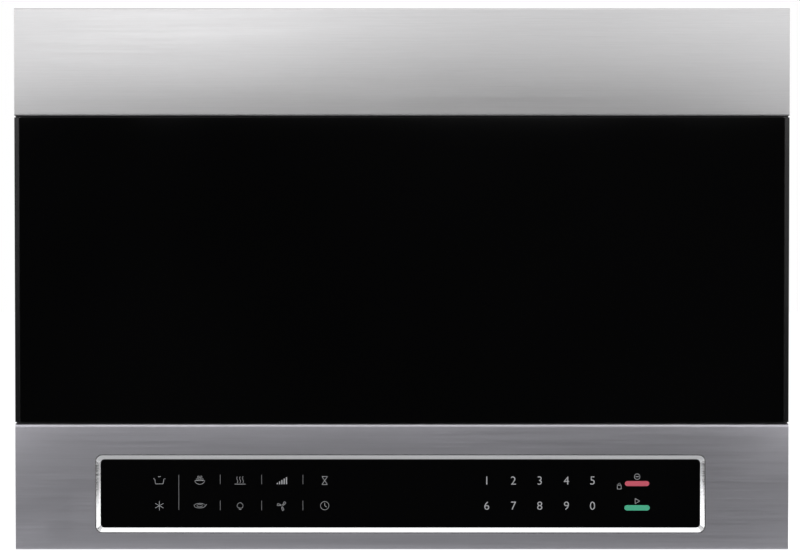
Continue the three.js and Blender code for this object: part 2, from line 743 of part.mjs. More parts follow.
// folded tray with a collar round each filter, the lamp opening and the air intake
function basePlate() {
  const x = about(0, 2 * insideHalf);
  const y = [yCavityFront, yRear - REAR_SHEET - SEAT];
  let plate = cut(
    block(x, y, [zBase, zBaseTop + BASE_FLANGE]),
    block(grown(x, -SHEET), grown(y, THROUGH), [zBaseTop, zBaseTop + BASE_FLANGE + THROUGH]),
  );
  for (const centre of [xFilterLeft, xFilterRight]) {
    const holeX = grown(about(centre, filterWidth), RUN);
    const holeY = grown(filterY, RUN);
    const zLip = zBase + FILTER_THICK + SEAT;
    plate = join(plate, block(grown(holeX, SHEET), grown(holeY, SHEET), [zBase, zLip + SHEET]));
    plate = cut(plate, block(holeX, holeY, [zBase - THROUGH, zLip]));
    const lipZ = grown([zLip, zLip + SHEET], THROUGH);
    plate = cut(plate, block(grown(holeX, -FILTER_LIP), grown(holeY, -FILTER_LIP), lipZ));
  }
  const lens = lensOpening();
  const ear = LENS_PIN + SEAT + LENS_EAR;
  for (const side of [0, 1]) {
    const out = side === 0 ? -1 : 1;
    const near = lens.x[side] + out * RUN;
    const earX = out > 0 ? [near, near + 2 * SHEET] : [near - 2 * SHEET, near];
    const tab = block(earX, about(lens.yPivot, 2 * ear), [zBase, lens.zPivot + ear]);
    plate = join(plate, tab);
  }
  const holeY = [lens.y[0] - RUN, lens.yPivot + LENS_PIVOT + LENS_THICK];
  plate = cut(plate, block(grown(lens.x, RUN), holeY, grown([zBase, zBaseTop], THROUGH)));
  const pinX = grown(lens.x, 4 * SHEET);
  plate = cut(plate, rod("x", [lens.yPivot, lens.zPivot], LENS_PIN + SEAT, pinX, 12));
  for (let i = 0; i < INTAKE_SLOTS; i++) {
    const centre = yFrame + INTAKE_INSET + (i - (INTAKE_SLOTS - 1) / 2) * INTAKE_PITCH;
    const slotX = about(xIntake, INTAKE_LENGTH);
    plate = cut(plate, block(slotX, about(centre, INTAKE_WIDTH), grown([zBase, zBaseTop], THROUGH)));
  }
  return plate;
}

function latchSlot(z, width) {
  const x = [xLatch - HOOK_THICK / 2 - 2 * RUN, xLatch - HOOK_THICK / 2 + width + 5 * RUN];
  return { x, z: [z - HOOK_NOSE - RUN, z + HOOK_ARM + RUN] };
}

const LATCH_SLOTS = [latchSlot(zUpperHook, HOOK_THICK), latchSlot(zLowerHook, WIDE_HOOK)];

// sheet behind the door, open at the oven, the vent outlet and the two latch hooks
function frontFrame() {
  const y = [yFrame, yFrame + SHEET];
  const through = grown(y, THROUGH);
  let frame = insidePanel(y);
  frame = cut(frame, block([xCavityLeft, xCavityRight], through, [zFloor, zCeiling]));
  const ventX = about(0, VENT_OPENING_WIDTH);
  const ventZ = about(zVentBottom + VENT_HEIGHT / 2, VENT_OPENING_HEIGHT);
  frame = cut(frame, extrude(rectangle(ventX, ventZ, VENT_OPENING_CORNER), "y", through));
  for (const slot of LATCH_SLOTS) frame = cut(frame, block(slot.x, through, slot.z));
  return frame;
}

function cordBushing() {
  const low = zRoof - BUSHING_DEPTH;
  const flange = CORD_HOLE_RADIUS + BUSHING_FLANGE;
  const bore = CORD_HOLE_RADIUS - BUSHING_WALL;
  return turned([
    [bore, low], [CORD_HOLE_RADIUS, low], [CORD_HOLE_RADIUS, zRoof - BUSHING_FLANGE],
    [flange, zRoof - BUSHING_FLANGE], [flange, zRoof - SEAT], [CORD_HOLE_RADIUS, zRoof - SEAT],
    [CORD_HOLE_RADIUS, zTop], [bore + SHEET, zTop],
  ], 16);
}

// ---------------------------------------------------------------- oven

// five-sided box with rounded back edges, a pressed roller track, and holes for air, lamp and port
function cavity() {
  const shell = (x, y, z, radius) => {
    const shape = new THREE.Shape();
    shape.moveTo(x[0], y[0]);
    shape.lineTo(x[1], y[0]);
    shape.absarc(x[1] - radius, y[1] - radius, radius, 0, Math.PI / 2);
    shape.absarc(x[0] + radius, y[1] - radius, radius, Math.PI / 2, Math.PI);
    return extrude(shape, "z", z, 2);
  };
  const x = [xCavityLeft, xCavityRight];
  const z = [zFloor, zCeiling];
  const outer = shell(
    grown(x, CAVITY_SHEET), [yCavityFront, yCavityBack + CAVITY_SHEET], grown(z, CAVITY_SHEET),
    CAVITY_CORNER + CAVITY_SHEET,
  );
  const axis = [xOven, yOven];
  const track = rod("z", axis, trackRadius + CAVITY_SHEET, [zTrack - CAVITY_SHEET, zFloor], 32);
  let oven = cut(
    join(outer, track),
    shell(x, [yCavityFront - THROUGH, yCavityBack], z, CAVITY_CORNER),
    rod("z", axis, trackRadius, [zTrack, zFloor + THROUGH], 32),
    rod("z", axis, SHAFT_HOLE_RADIUS, [zTrack - 2 * CAVITY_SHEET, zFloor]),
  );
  const rightWall = grown([xCavityRight, xCavityRight + CAVITY_SHEET], THROUGH);
  const leftWall = grown([xCavityLeft - CAVITY_SHEET, xCavityLeft], THROUGH);
  const portY = about(yGuide, GUIDE_WIDTH - 2 * GUIDE_SHEET);
  oven = cut(oven, block(rightWall, portY, about(zPort, PORT_HEIGHT)));
  for (let i = 0; i < CAVITY_VENTS; i++) {
    const slotZ = about(zCeiling - CAVITY_VENT_BELOW - i * CAVITY_VENT_PITCH, CAVITY_VENT_WIDTH);
    oven = cut(oven, block(leftWall, about(yOven, CAVITY_VENT_LENGTH), slotZ));
  }
  const stepFromMiddle = (i) => (i - (LAMP_HOLES - 1) / 2) * LAMP_HOLE_PITCH;
  for (let i = 0; i < LAMP_HOLES; i++) {
    for (let j = 0; j < LAMP_HOLES; j++) {
      const at = [yLamp + stepFromMiddle(i), zLamp - stepFromMiddle(j)];
      oven = cut(oven, rod("x", at, LAMP_HOLE_RADIUS, rightWall, 6));
    }
  }
  return oven;
}

// folded channel closed by the oven wall, with the antenna hole in its top
function waveguide() {
  const x = [xBay, xBay + GUIDE_DEPTH];
  const y = about(yGuide, GUIDE_WIDTH);
  const z = [zGuideBottom, zGuideTop];
  const box = block(x, y, z);
  const flange = block([xBay, xBay + GUIDE_SHEET], grown(y, GUIDE_FLANGE), [z[0] - GUIDE_FLANGE, z[1]]);
  const inner = block([xBay - THROUGH, x[1] - GUIDE_SHEET], grown(y, -GUIDE_SHEET), grown(z, -GUIDE_SHEET));
  const top = [z[1] - 2 * GUIDE_SHEET, z[1] + THROUGH];
  const antenna = rod("z", [xMagnetron, yGuide], ANTENNA_RADIUS + ANTENNA_CLEARANCE, top, 12);
  return cut(join(box, flange), inner, antenna);
}

function waveguideCover() {
  const x = [xCavityRight - SEAT - MICA, xCavityRight - SEAT];
  const y = grown(about(yGuide, GUIDE_WIDTH), MICA_LAP);
  return extrude(rectangle(y, grown(about(zPort, PORT_HEIGHT), MICA_LAP), MICA_CORNER), "x", x);
}

// ---------------------------------------------------------------- microwave source

// open steel box of two end plates and two sides, with the antenna hole below
function magnetronYoke() {
  const x = about(xMagnetron, YOKE_WIDTH);
  const y = about(yGuide, YOKE_DEPTH);
  const z = [zYoke, zYoke + YOKE_HEIGHT];
  const hole = rod("z", [xMagnetron, yGuide], ANTENNA_RADIUS + SEAT, grown(z, THROUGH), 12);
  const air = block(grown(x, -YOKE_SHEET), grown(y, THROUGH), grown(z, -YOKE_SHEET));
  return cut(block(x, y, z), air, hole);
}

// copper anode between the end plates, its stack of cooling fins, and the antenna below
function magnetronAnode() {
  const low = zYoke + YOKE_SHEET + SEAT;
  const top = zYoke + YOKE_HEIGHT;
  const high = top - YOKE_SHEET - SEAT;
  const tip = zYoke - ANTENNA_LENGTH;
  const step = zYoke - ANTENNA_STEP;
  const body = turned([
    [0, tip], [ANTENNA_TIP_RADIUS, tip], [ANTENNA_TIP_RADIUS, step], [ANTENNA_RADIUS, step],
    [ANTENNA_RADIUS, low], [ANODE_RADIUS, low], [ANODE_RADIUS, high], [ANTENNA_RADIUS, high],
    [ANTENNA_RADIUS, top], [0, top],
  ], 12);
  const finX = grown(about(xMagnetron, YOKE_WIDTH), -YOKE_SHEET - SEAT);
  const finY = grown(about(yGuide, YOKE_DEPTH), -FIN_INSET);
  let stack = moved(body, xMagnetron, yGuide);
  for (let i = 0; i < FINS; i++) {
    const z = low + ((high - low) * (i + 1)) / (FINS + 1);
    stack = join(stack, block(finX, finY, about(z, FIN_THICK)));
  }
  return stack;
}

// a solid built on the Z axis, moved to its place
function moved(shape, x, y) {
  return solid(geometryOf(shape).translate(x, y, 0));
}

function magnetronFilterBox() {
  const low = zYoke + YOKE_HEIGHT + SEAT;
  const x = grown(about(xMagnetron, YOKE_WIDTH), -FILTER_BOX_INSET);
  const y = grown(about(yGuide, YOKE_DEPTH), -FILTER_BOX_INSET);
  const box = block(x, y, [low, low + FILTER_BOX_HEIGHT]);
  const plugZ = about(low + FILTER_BOX_HEIGHT / 2, CONNECTOR_HEIGHT);
  const connector = block(about(xMagnetron, CONNECTOR_WIDTH), [y[0] - CONNECTOR_REACH, y[0] + SUNK], plugZ);
  return join(box, connector);
}

const xCore = xBay + SEAT + CORE_WIDTH / 2;
const yCore = -TRANSFORMER_FROM_WALL - CORE_STACK / 2;
const zCore = zBaseTop + SEAT + CORE_HEIGHT / 2;

function coreWindow() {
  const length = CORE_WIDTH - 2 * CORE_YOKE;
  const height = (CORE_HEIGHT - CORE_LEG) / 2 - CORE_YOKE;
  return { length, height };
}

// stacked laminations with a window above and below the middle leg, on a welded foot
function transformerCore() {
  const { length, height } = coreWindow();
  let core = block(about(xCore, CORE_WIDTH), about(yCore, CORE_STACK), about(zCore, CORE_HEIGHT));
  for (const side of [-1, 1]) {
    const z = about(zCore + side * (CORE_LEG + height) / 2, height);
    core = cut(core, block(about(xCore, length), grown(about(yCore, CORE_STACK), THROUGH), z));
  }
  return core;
}

// coil wound round the middle leg; side is -1 for the one nearer the oven
function transformerWinding(side) {
  const { length, height } = coreWindow();
  const width = length / 2 - WINDING_GAP;
  const x = about(xCore + side * (length / 4), width);
  const inY = grown(about(yCore, CORE_STACK), SEAT);
  const inZ = grown(about(zCore, CORE_LEG), SEAT);
  const outer = rectangle(grown(inY, WINDING_BUILD), grown(inZ, height - 3 * SEAT), WINDING_CORNER);
  return cut(extrude(outer, "x", x), block(grown(x, THROUGH), inY, inZ));
}

// oval can with two terminals
function capacitor() {
  const x = [xBay + SEAT, xBay + SEAT + CAPACITOR_LONG];
  const yMiddle = yRear - CAPACITOR_INSET;
  const z = [zBaseTop + SEAT, zBaseTop + SEAT + CAPACITOR_TALL];
  const outline = rectangle(x, about(yMiddle, CAPACITOR_WIDE), (CAPACITOR_WIDE / 2) * FULL_ROUND);
  let can = extrude(outline, "z", z, 4);
  for (const side of [-1, 1]) {
    const bladeX = about((x[0] + x[1]) / 2 + (side * TERMINAL_PITCH) / 2, TERMINAL_WIDTH);
    can = join(can, block(bladeX, about(yMiddle, TERMINAL_THICK), [z[1] - SUNK, z[1] + TERMINAL_LENGTH]));
  }
  return can;
}

const xFan = xBay + FAN_SIZE / 2;
const yFan = yRear - FAN_INSET - FAN_DEPTH / 2;
const zFan = zTop - FAN_BELOW_TOP;

// square frame with a round throat and spokes to the motor hub; built about its own axis
function fanShroud() {
  const throat = FAN_SIZE / 2 - FAN_WALL;
  const z = about(0, FAN_DEPTH);
  const side = about(0, FAN_SIZE);
  const frame = extrude(rectangle(side, side, FAN_CORNER), "z", z);
  let shroud = cut(frame, rod("z", [0, 0], throat, grown(z, THROUGH), 24));
  shroud = join(shroud, rod("z", [0, 0], FAN_HUB, [z[1] - FAN_HUB_THICK, z[1]]));
  for (let i = 0; i < FAN_SPOKES; i++) {
    const length = throat - FAN_HUB + 4 * SUNK;
    const spoke = new THREE.BoxGeometry(length, FAN_SPOKE_WIDTH, FAN_SPOKE_THICK);
    spoke.translate((throat + FAN_HUB) / 2, 0, z[1] - FAN_SPOKE_THICK / 2);
    spoke.rotateZ((i * 2 * Math.PI) / FAN_SPOKES);
    shroud = join(shroud, solid(spoke));
  }
  return shroud;
}

// hub and pitched blades, built about its own axis
function fanRotor() {
  const z = [-FAN_DEPTH / 2 + FAN_HUB_INSET, FAN_DEPTH / 2 - FAN_HUB_THICK - SEAT];
  const reach = FAN_SIZE / 2 - FAN_WALL - FAN_CLEARANCE;
  const root = FAN_HUB - 4 * SUNK;
  let rotor = rod("z", [0, 0], FAN_HUB, z);
  for (let i = 0; i < FAN_BLADES; i++) {
    const blade = new THREE.BoxGeometry(reach + THROUGH - root, FAN_BLADE_WIDTH, FAN_BLADE_THICK);
    blade.rotateX(THREE.MathUtils.degToRad(FAN_BLADE_PITCH));
    blade.translate((reach + THROUGH + root) / 2, 0, (z[0] + z[1]) / 2);
    blade.rotateZ((i * 2 * Math.PI) / FAN_BLADES);
    rotor = join(rotor, solid(blade));
  }
  const sweep = rod("z", [0, 0], reach, [z[0] - FAN_HUB_INSET / 2, z[1]], 28);
  return rotor.intersect(sweep);
}

// ---------------------------------------------------------------- extraction

// volute outline in Y and Z, drawn inwards by the wall where it is the inner face
function voluteOutline(inset, topExtra) {
  const points = [];
  const steps = 9;
  for (let i = 0; i <= steps; i++) {
    const angle = (-Math.PI * i) / steps;
    const radius = SCROLL_START + ((SCROLL_END - SCROLL_START) * i) / steps - inset;
    points.push([yScroll + radius * Math.cos(angle), zScroll + radius * Math.sin(angle)]);
  }
  const rear = yCollar + DUCT_DEPTH / 2 - inset;
  const front = yCollar - DUCT_DEPTH / 2 + inset;
  points.push([front, zScrollTop + topExtra]);
  points.push([rear, zScrollTop + topExtra]);
  return polygon(points.reverse());
}

// two volutes joined by the outlet flange that bolts under the exhaust collar
function blowerHousing() {
  const reach = DUCT_WIDTH / 2;
  const flangeZ = [zScrollTop - SCROLL_WALL, zScrollTop];
  const flangeY = grown(about(yCollar, DUCT_DEPTH), COLLAR_WALL);
  let housing = block(grown([-reach, reach], COLLAR_WALL), flangeY, flangeZ);
  for (const side of [-1, 1]) {
    const x = about(side * (reach - SCROLL_WIDTH / 2), SCROLL_WIDTH);
    housing = join(housing, extrude(voluteOutline(0, 0), "x", x));
  }
  for (const side of [-1, 1]) {
    const x = about(side * (reach - SCROLL_WIDTH / 2), SCROLL_WIDTH);
    housing = cut(housing, extrude(voluteOutline(SCROLL_WALL, THROUGH), "x", grown(x, -SCROLL_WALL)));
    housing = cut(housing, rod("x", [yScroll, zScroll], SCROLL_INLET, grown(x, THROUGH)));
  }
  return housing;
}

// motor between the wheels, hung from the outlet flange by its bracket
function blowerMotor() {
  const long = BLOWER_MOTOR_LENGTH / 2;
  const end = long + BLOWER_MOTOR_NECK;
  const bore = SHAFT_RADIUS + RUN;
  const neck = SHAFT_RADIUS + BLOWER_MOTOR_NECK_WALL;
  const shoulder = [BLOWER_MOTOR_RADIUS - BLOWER_MOTOR_SHOULDER, long - BLOWER_MOTOR_SHOULDER];
  const can = turned([
    [bore, -end], [neck, -end], [neck, -long], [shoulder[0], -long], [BLOWER_MOTOR_RADIUS, -shoulder[1]],
    [BLOWER_MOTOR_RADIUS, shoulder[1]], [shoulder[0], long], [neck, long], [neck, end], [bore, end],
  ], 16);
  const laid = solid(geometryOf(can).rotateY(Math.PI / 2).translate(0, yScroll, zScroll));
  const y = about(yScroll, BLOWER_BRACKET_DEPTH);
  const high = zScrollTop - SCROLL_WALL - SEAT;
  const bracketZ = [zScroll + BLOWER_MOTOR_RADIUS - 4 * SUNK, high];
  const bracket = block(about(0, BLOWER_BRACKET_WIDTH), y, bracketZ);
  const foot = block(about(0, BLOWER_FOOT_WIDTH), y, [high - BLOWER_FOOT_THICK, high]);
  return join(laid, bracket, foot);
}

// forward-curved squirrel-cage wheel, built on the Z axis with its back disc at the lower end
function blowerWheel() {
  const bore = SHAFT_RADIUS + SEAT;
  const hub = SHAFT_RADIUS + WHEEL_HUB_WALL;
  const disc = turned([
    [bore, 0], [WHEEL_RADIUS, 0], [WHEEL_RADIUS, WHEEL_DISC], [hub, WHEEL_DISC], [hub, WHEEL_HUB],
    [bore, WHEEL_HUB],
  ], 20);
  const rimLow = WHEEL_WIDTH - WHEEL_RIM;
  const rim = turned([
    [WHEEL_BORE, rimLow], [WHEEL_RADIUS, rimLow], [WHEEL_RADIUS, WHEEL_WIDTH], [WHEEL_BORE, WHEEL_WIDTH],
  ], 20);
  const lead = THREE.MathUtils.degToRad(BLADE_LEAD);
  const middle = (WHEEL_BORE + WHEEL_RADIUS) / 2;
  const stations = [[WHEEL_BORE + BLADE_EDGE, 0], [middle, lead / 4], [WHEEL_RADIUS - BLADE_EDGE, lead]];
  const at = ([radius, angle], offset) => {
    const turn = angle + offset / radius;
    return [radius * Math.cos(turn), radius * Math.sin(turn)];
  };
  const edge = stations.map((s) => at(s, -BLADE_THICK / 2));
  const back = stations.map((s) => at(s, BLADE_THICK / 2)).reverse();
  const outline = polygon([...edge, ...back]);
  let wheel = join(disc, rim);
  for (let i = 0; i < WHEEL_BLADES; i++) {
    const depth = WHEEL_WIDTH - WHEEL_RIM;
    const blade = new THREE.ExtrudeGeometry(outline, { depth, bevelEnabled: false });
    blade.translate(0, 0, WHEEL_DISC / 2);
    blade.rotateZ((i * 2 * Math.PI) / WHEEL_BLADES);
    wheel = join(wheel, solid(blade));
  }
  return wheel;
}

// frame of a 3 1/4 by 10 inch duct connection, flush with the top, with a ledge under the flap
function exhaustCollar() {
  const x = about(0, DUCT_WIDTH);
  const y = about(yCollar, DUCT_DEPTH);
  const z = [zCollar, zTop];
  const body = block(grown(x, COLLAR_WALL), grown(y, COLLAR_WALL), z);
  const ledgeTop = zCollar + COLLAR_LEDGE_THICK;
  const ledgeY = [y[0] + COLLAR_LEDGE, y[1] + COLLAR_LEDGE];
  const flap = flapPlace();
  return cut(
    body,
    block(x, y, [ledgeTop, zTop + THROUGH]),
    block(grown(x, -COLLAR_LEDGE), [ledgeY[0], y[1]], [zCollar - THROUGH, ledgeTop + THROUGH]),
    block(x, [flap.y - 4 * FLAP_PIVOT_RADIUS, y[1]], [zCollar - THROUGH, ledgeTop + THROUGH]),
    rod("x", [flap.y, flap.z], FLAP_PIVOT_RADIUS + SEAT, grown(x, COLLAR_WALL - SHEET), 12),
  );
}

function flapPlace() {
  return {
    y: yCollar + DUCT_DEPTH / 2 - FLAP_FROM_WALL,
    z: zCollar + COLLAR_LEDGE_THICK + SEAT + FLAP_PIVOT_RADIUS,
  };
}

// thin flap on a pivot rod, built about the rod
function damperFlap() {
  const length = DUCT_DEPTH - FLAP_FROM_WALL - RUN;
  const low = -FLAP_PIVOT_RADIUS;
  const leaf = block(about(0, DUCT_WIDTH - 2 * RUN), [-length, FLAP_TAIL], [low, low + FLAP_THICK]);
  const pin = rod("x", [0, 0], FLAP_PIVOT_RADIUS, about(0, DUCT_WIDTH + COLLAR_WALL), 12);
  return join(leaf, pin);
}

// ---------------------------------------------------------------- underside

// rimmed frame round a thin mesh, stiffened by ribs; built about its centre, underside at zero
function greaseFilter() {
  const x = about(0, filterWidth);
  const y = about(0, filterLength);
  const rim = cut(
    block(x, y, [0, FILTER_THICK]),
    block(grown(x, -FILTER_FRAME), grown(y, -FILTER_FRAME), grown([0, FILTER_THICK], THROUGH)),
  );
  const middle = FILTER_THICK / 2;
  let filter = join(rim, block(grown(x, -SUNK), grown(y, -SUNK), about(middle, FILTER_CORE)));
  for (let i = 0; i < FILTER_RIBS; i++) {
    const at = y[0] + ((i + 1) * filterLength) / (FILTER_RIBS + 1);
    const ribZ = about(middle, FILTER_THICK - FILTER_RIB);
    filter = join(filter, block(grown(x, -SUNK), about(at, FILTER_RIB), ribZ));
  }
  const pullY = [y[0] + SUNK, y[0] + FILTER_FRAME - SUNK];
  return join(filter, block(about(0, FILTER_PULL_WIDTH), pullY, [-FILTER_PULL_DROP, SUNK]));
}

// glass lens with a stub pin at each rear corner, built about the pin axis
function lampCover() {
  const lens = lensOpening();
  const y = [lens.y[0] - lens.yPivot, lens.y[1] - lens.yPivot];
  const low = zBase - lens.zPivot;
  let cover = block(lens.x, y, [low, low + LENS_THICK]);
  for (const [side, out] of [[0, -1], [1, 1]]) {
    const edge = lens.x[side];
    const inner = edge - out * LENS_KNUCKLE;
    const knuckleX = [Math.min(edge, inner), Math.max(edge, inner)];
    const knuckle = block(knuckleX, about(0, 2 * LENS_PIVOT_INSET), [low, LENS_PIN]);
    const pinX = [Math.min(edge + out * 2 * SHEET, inner), Math.max(edge + out * 2 * SHEET, inner)];
    cover = join(cover, knuckle, rod("x", [0, 0], LENS_PIN, pinX, 12));
  }
  return cover;
}

// glass bulb along Z, its neck at zero
function bulb(radius, length) {
  const neck = 0.64 * radius;
  return turned([
    [0, 0], [neck, 0], [neck, 0.24 * length], [0.93 * radius, 0.43 * length], [radius, 0.67 * length],
    [0.79 * radius, 0.86 * length], [0.36 * radius, 0.98 * length], [0, length],
  ], 12);
}

// lampholder on an angle beside the lens opening, with its bulb over the lens
function cooktopLamp() {
  const lens = lensOpening();
  const low = zBaseTop + SEAT;
  const x = lens.x[0] - COOKTOP_LAMP_GAP;
  const y = (lens.y[0] + lens.y[1]) / 2;
  const z = low + COOKTOP_BULB_ABOVE;
  const glass = bulb(COOKTOP_BULB_RADIUS, COOKTOP_BULB_LENGTH);
  const laid = solid(geometryOf(glass).rotateY(Math.PI / 2).translate(x, y, z));
  const angleY = about(y, COOKTOP_ANGLE_WIDTH);
  const angle = block([x - COOKTOP_ANGLE_THICK, x], angleY, [low, z + COOKTOP_ANGLE_ABOVE]);
  const foot = block([x - COOKTOP_FOOT, x], angleY, [low, low + COOKTOP_FOOT_THICK]);
  const holderX = [x - COOKTOP_HOLDER_BACK, x + COOKTOP_HOLDER_FRONT];
  return join(angle, foot, rod("x", [y, z], COOKTOP_HOLDER_RADIUS, holderX), laid);
}

// small lamp on a plate over the perforated patch of the oven wall
function cavityLamp() {
  const plateX = [xBay, xBay + LAMP_PLATE];
  const plate = cut(
    block(plateX, about(yLamp, LAMP_PLATE_WIDTH), about(zLamp, LAMP_PLATE_HEIGHT)),
    block(grown(plateX, THROUGH), about(yLamp, LAMP_WINDOW_WIDTH), about(zLamp, LAMP_WINDOW_HEIGHT)),
  );
  const tabY = (LAMP_WINDOW_WIDTH + LAMP_PLATE_WIDTH) / 4;
  const tabZ = about(zLamp, LAMP_TAB_HEIGHT);
  const tab = block([xBay, xBay + LAMP_TAB_REACH], about(yLamp + tabY, LAMP_TAB), tabZ);
  const axis = [xBay + LAMP_OUT, zLamp];
  const holderY = [yLamp + LAMP_TAB, yLamp + LAMP_TAB + LAMP_HOLDER_LENGTH];
  const holder = rod("y", axis, LAMP_HOLDER_RADIUS, holderY);
  const glass = geometryOf(bulb(LAMP_BULB_RADIUS, LAMP_BULB_LENGTH)).rotateX(Math.PI / 2);
  return join(plate, tab, holder, solid(glass.translate(axis[0], yLamp + 2 * LAMP_TAB, zLamp)));
}

// ---------------------------------------------------------------- turntable

const zTray = zTrack + 2 * SEAT + 2 * ROLLER_RADIUS;

// shallow glass dish with three lugs below that the coupler drives; built on its axis
function glassTray() {
  const low = zTray;
  const well = trayRadius - TRAY_FLARE;
  let tray = turned([
    [0, low], [well, low], [trayRadius - 3, low + TRAY_RIM - 3], [trayRadius, low + TRAY_RIM],
    [trayRadius - 1, low + TRAY_RIM + 3], [trayRadius - 4, low + TRAY_RIM + 2],
    [well - 2, low + TRAY_THICK], [0, low + TRAY_THICK],
  ], 32);
  const height = LOBE_HEIGHT - 2 * SEAT;
  for (let i = 0; i < LOBES; i++) {
    const lug = new THREE.BoxGeometry(LUG_THICK, LUG_WIDTH, height + SUNK);
    lug.translate(LOBE_REACH - LUG_THICK / 3, 0, low - (height - SUNK) / 2);
    lug.rotateZ(((2 * i + 1) * Math.PI) / LOBES);
    tray = join(tray, solid(lug));
  }
  return tray;
}

// lobed hub and its stem into the motor; built on its axis
function driveCoupler() {
  const high = zTray - SEAT;
  const low = high - LOBE_HEIGHT;
  let coupler = rod("z", [0, 0], HUB_RADIUS, [zTrack - CAVITY_SHEET - STEM_DROP, high]);
  for (let i = 0; i < LOBES; i++) {
    const lobe = new THREE.BoxGeometry(LOBE_REACH, LOBE_WIDTH, LOBE_HEIGHT);
    lobe.translate(LOBE_REACH / 2, 0, (low + high) / 2);
    lobe.rotateZ((i * 2 * Math.PI) / LOBES);
    coupler = join(coupler, solid(lobe));
  }
  return coupler;
}

// flat gear motor under the oven floor, with two ears and a well for the coupler's stem
function turntableMotor() {
  const high = zTrack - CAVITY_SHEET - SEAT;
  const can = rod("z", [0, 0], MOTOR_RADIUS, [high - MOTOR_HEIGHT, high], 24);
  const earRound = (MOTOR_EAR_WIDTH / 2) * FULL_ROUND;
  const outline = rectangle(about(0, 2 * MOTOR_EAR), about(0, MOTOR_EAR_WIDTH), earRound);
  const ears = extrude(outline, "z", [high - MOTOR_EAR_THICK, high]);
  const well = rod("z", [0, 0], HUB_RADIUS + RUN, [high - MOTOR_WELL, high + THROUGH]);
  return cut(join(can, ears), well);
}

// wire ring with an axle for each roller, built on its axis at roller height
function rollerRing() {
  const section = new THREE.Shape();
  section.absarc(ringRadius, 0, RING_SECTION, 0, 2 * Math.PI);
  const profile = section.getPoints(3).slice(0, -1).map((p) => [p.x, p.y]);
  let ring = turned(profile, 22);
  const near = rollerTrack - ROLLER_WIDTH / 2 - SEAT;
  const far = rollerTrack + ROLLER_WIDTH / 2 + SEAT;
  const collar = rod("x", [0, 0], AXLE_RADIUS + AXLE_STOP, [ringRadius, near], 8);
  const axle = rod("x", [0, 0], AXLE_RADIUS, [near - SUNK, far + SUNK], 8);
  const stop = rod("x", [0, 0], AXLE_RADIUS + AXLE_STOP, [far, far + AXLE_STOP], 8);
  for (let i = 0; i < ROLLERS; i++) {
    for (const shape of [collar, axle, stop]) {
      ring = join(ring, solid(geometryOf(shape).rotateZ((i * 2 * Math.PI) / ROLLERS)));
    }
  }
  return ring;
}

// grooved wheel with a bore, built on the Z axis
function roller() {
  const w = ROLLER_WIDTH / 2;
  return turned([
    [ROLLER_BORE, -w], [ROLLER_RADIUS - 1, -w], [ROLLER_RADIUS, -w + 1], [ROLLER_RADIUS, w - 1],
    [ROLLER_RADIUS - 1, w], [ROLLER_BORE, w],
  ], 16);
}

// ---------------------------------------------------------------- bands and controls

// a bent band across the front: profile in Y and Z, with both ends closed
function band(zLow, zHigh, topRadius, bottomRadius) {
  const outlineOf = (y, z, top, bottom) => {
    const shape = new THREE.Shape();
    shape.moveTo(y[1], z[0]);
    shape.lineTo(y[1], z[1]);
    shape.absarc(y[0] + top, z[1] - top, top, Math.PI / 2, Math.PI);
    shape.absarc(y[0] + bottom, z[0] + bottom, bottom, Math.PI, 1.5 * Math.PI);
    return shape;
  };
  const y = [yFront, yFrame - SEAT];
  const outer = extrude(outlineOf(y, [zLow, zHigh], topRadius, bottomRadius), "x", [-half, half]);
  const innerY = [yFront + BAND_SHEET, y[1] + THROUGH];
  const innerZ = grown([zLow, zHigh], -BAND_SHEET);
  const small = (radius) => Math.max(radius - BAND_SHEET, 0.3);
  const inner = outlineOf(innerY, innerZ, small(topRadius), small(bottomRadius));
  return cut(outer, extrude(inner, "x", grown([-half, half], -BAND_SHEET)));
}

// fascia: rolled top edge, short top lip, window for the controls
function controlFascia() {
  const lipBack = [yFront + BAND_LIP, yFrame];
  const inside = grown([-half, half], -BAND_SHEET);
  let fascia = band(zBottom, zFasciaTop, FASCIA_ROLL, BAND_EDGE);
  fascia = cut(fascia, block(inside, lipBack, [zFasciaTop - 2 * BAND_SHEET, zFasciaTop + THROUGH]));
  const x = grown(about(BEZEL_X, BEZEL_WIDTH), SEAT);
  const z = grown(about(zBezel, BEZEL_HEIGHT), SEAT);
  const window = rectangle(x, z, BEZEL_CORNER + SEAT);
  return cut(fascia, extrude(window, "y", [yFront - THROUGH, yFront + 2 * BAND_SHEET], 2));
}

// polished ring whose inner face slopes in to the glass
function controlBezel() {
  const x = about(BEZEL_X, BEZEL_WIDTH);
  const z = about(zBezel, BEZEL_HEIGHT);
  const ring = extrude(rectangle(x, z, BEZEL_CORNER), "y", [yFront, yFront + BEZEL_BACK]);
  const slope = BEZEL_CHAMFER / BEZEL_DEPTH;
  const openingAt = (depth) => {
    const inset = BEZEL_RIM + slope * depth;
    return rectangle(grown(x, -inset), grown(z, -inset), Math.max(BEZEL_CORNER - inset / 2, BEZEL_RIM));
  };
  const neck = yFront + BEZEL_DEPTH;
  const funnel = loftY(openingAt(-THROUGH), yFront - THROUGH, openingAt(BEZEL_DEPTH), neck);
  const straight = extrude(openingAt(BEZEL_DEPTH), "y", [neck - SUNK / 2, yFront + BEZEL_BACK + THROUGH]);
  return cut(ring, join(funnel, straight));
}

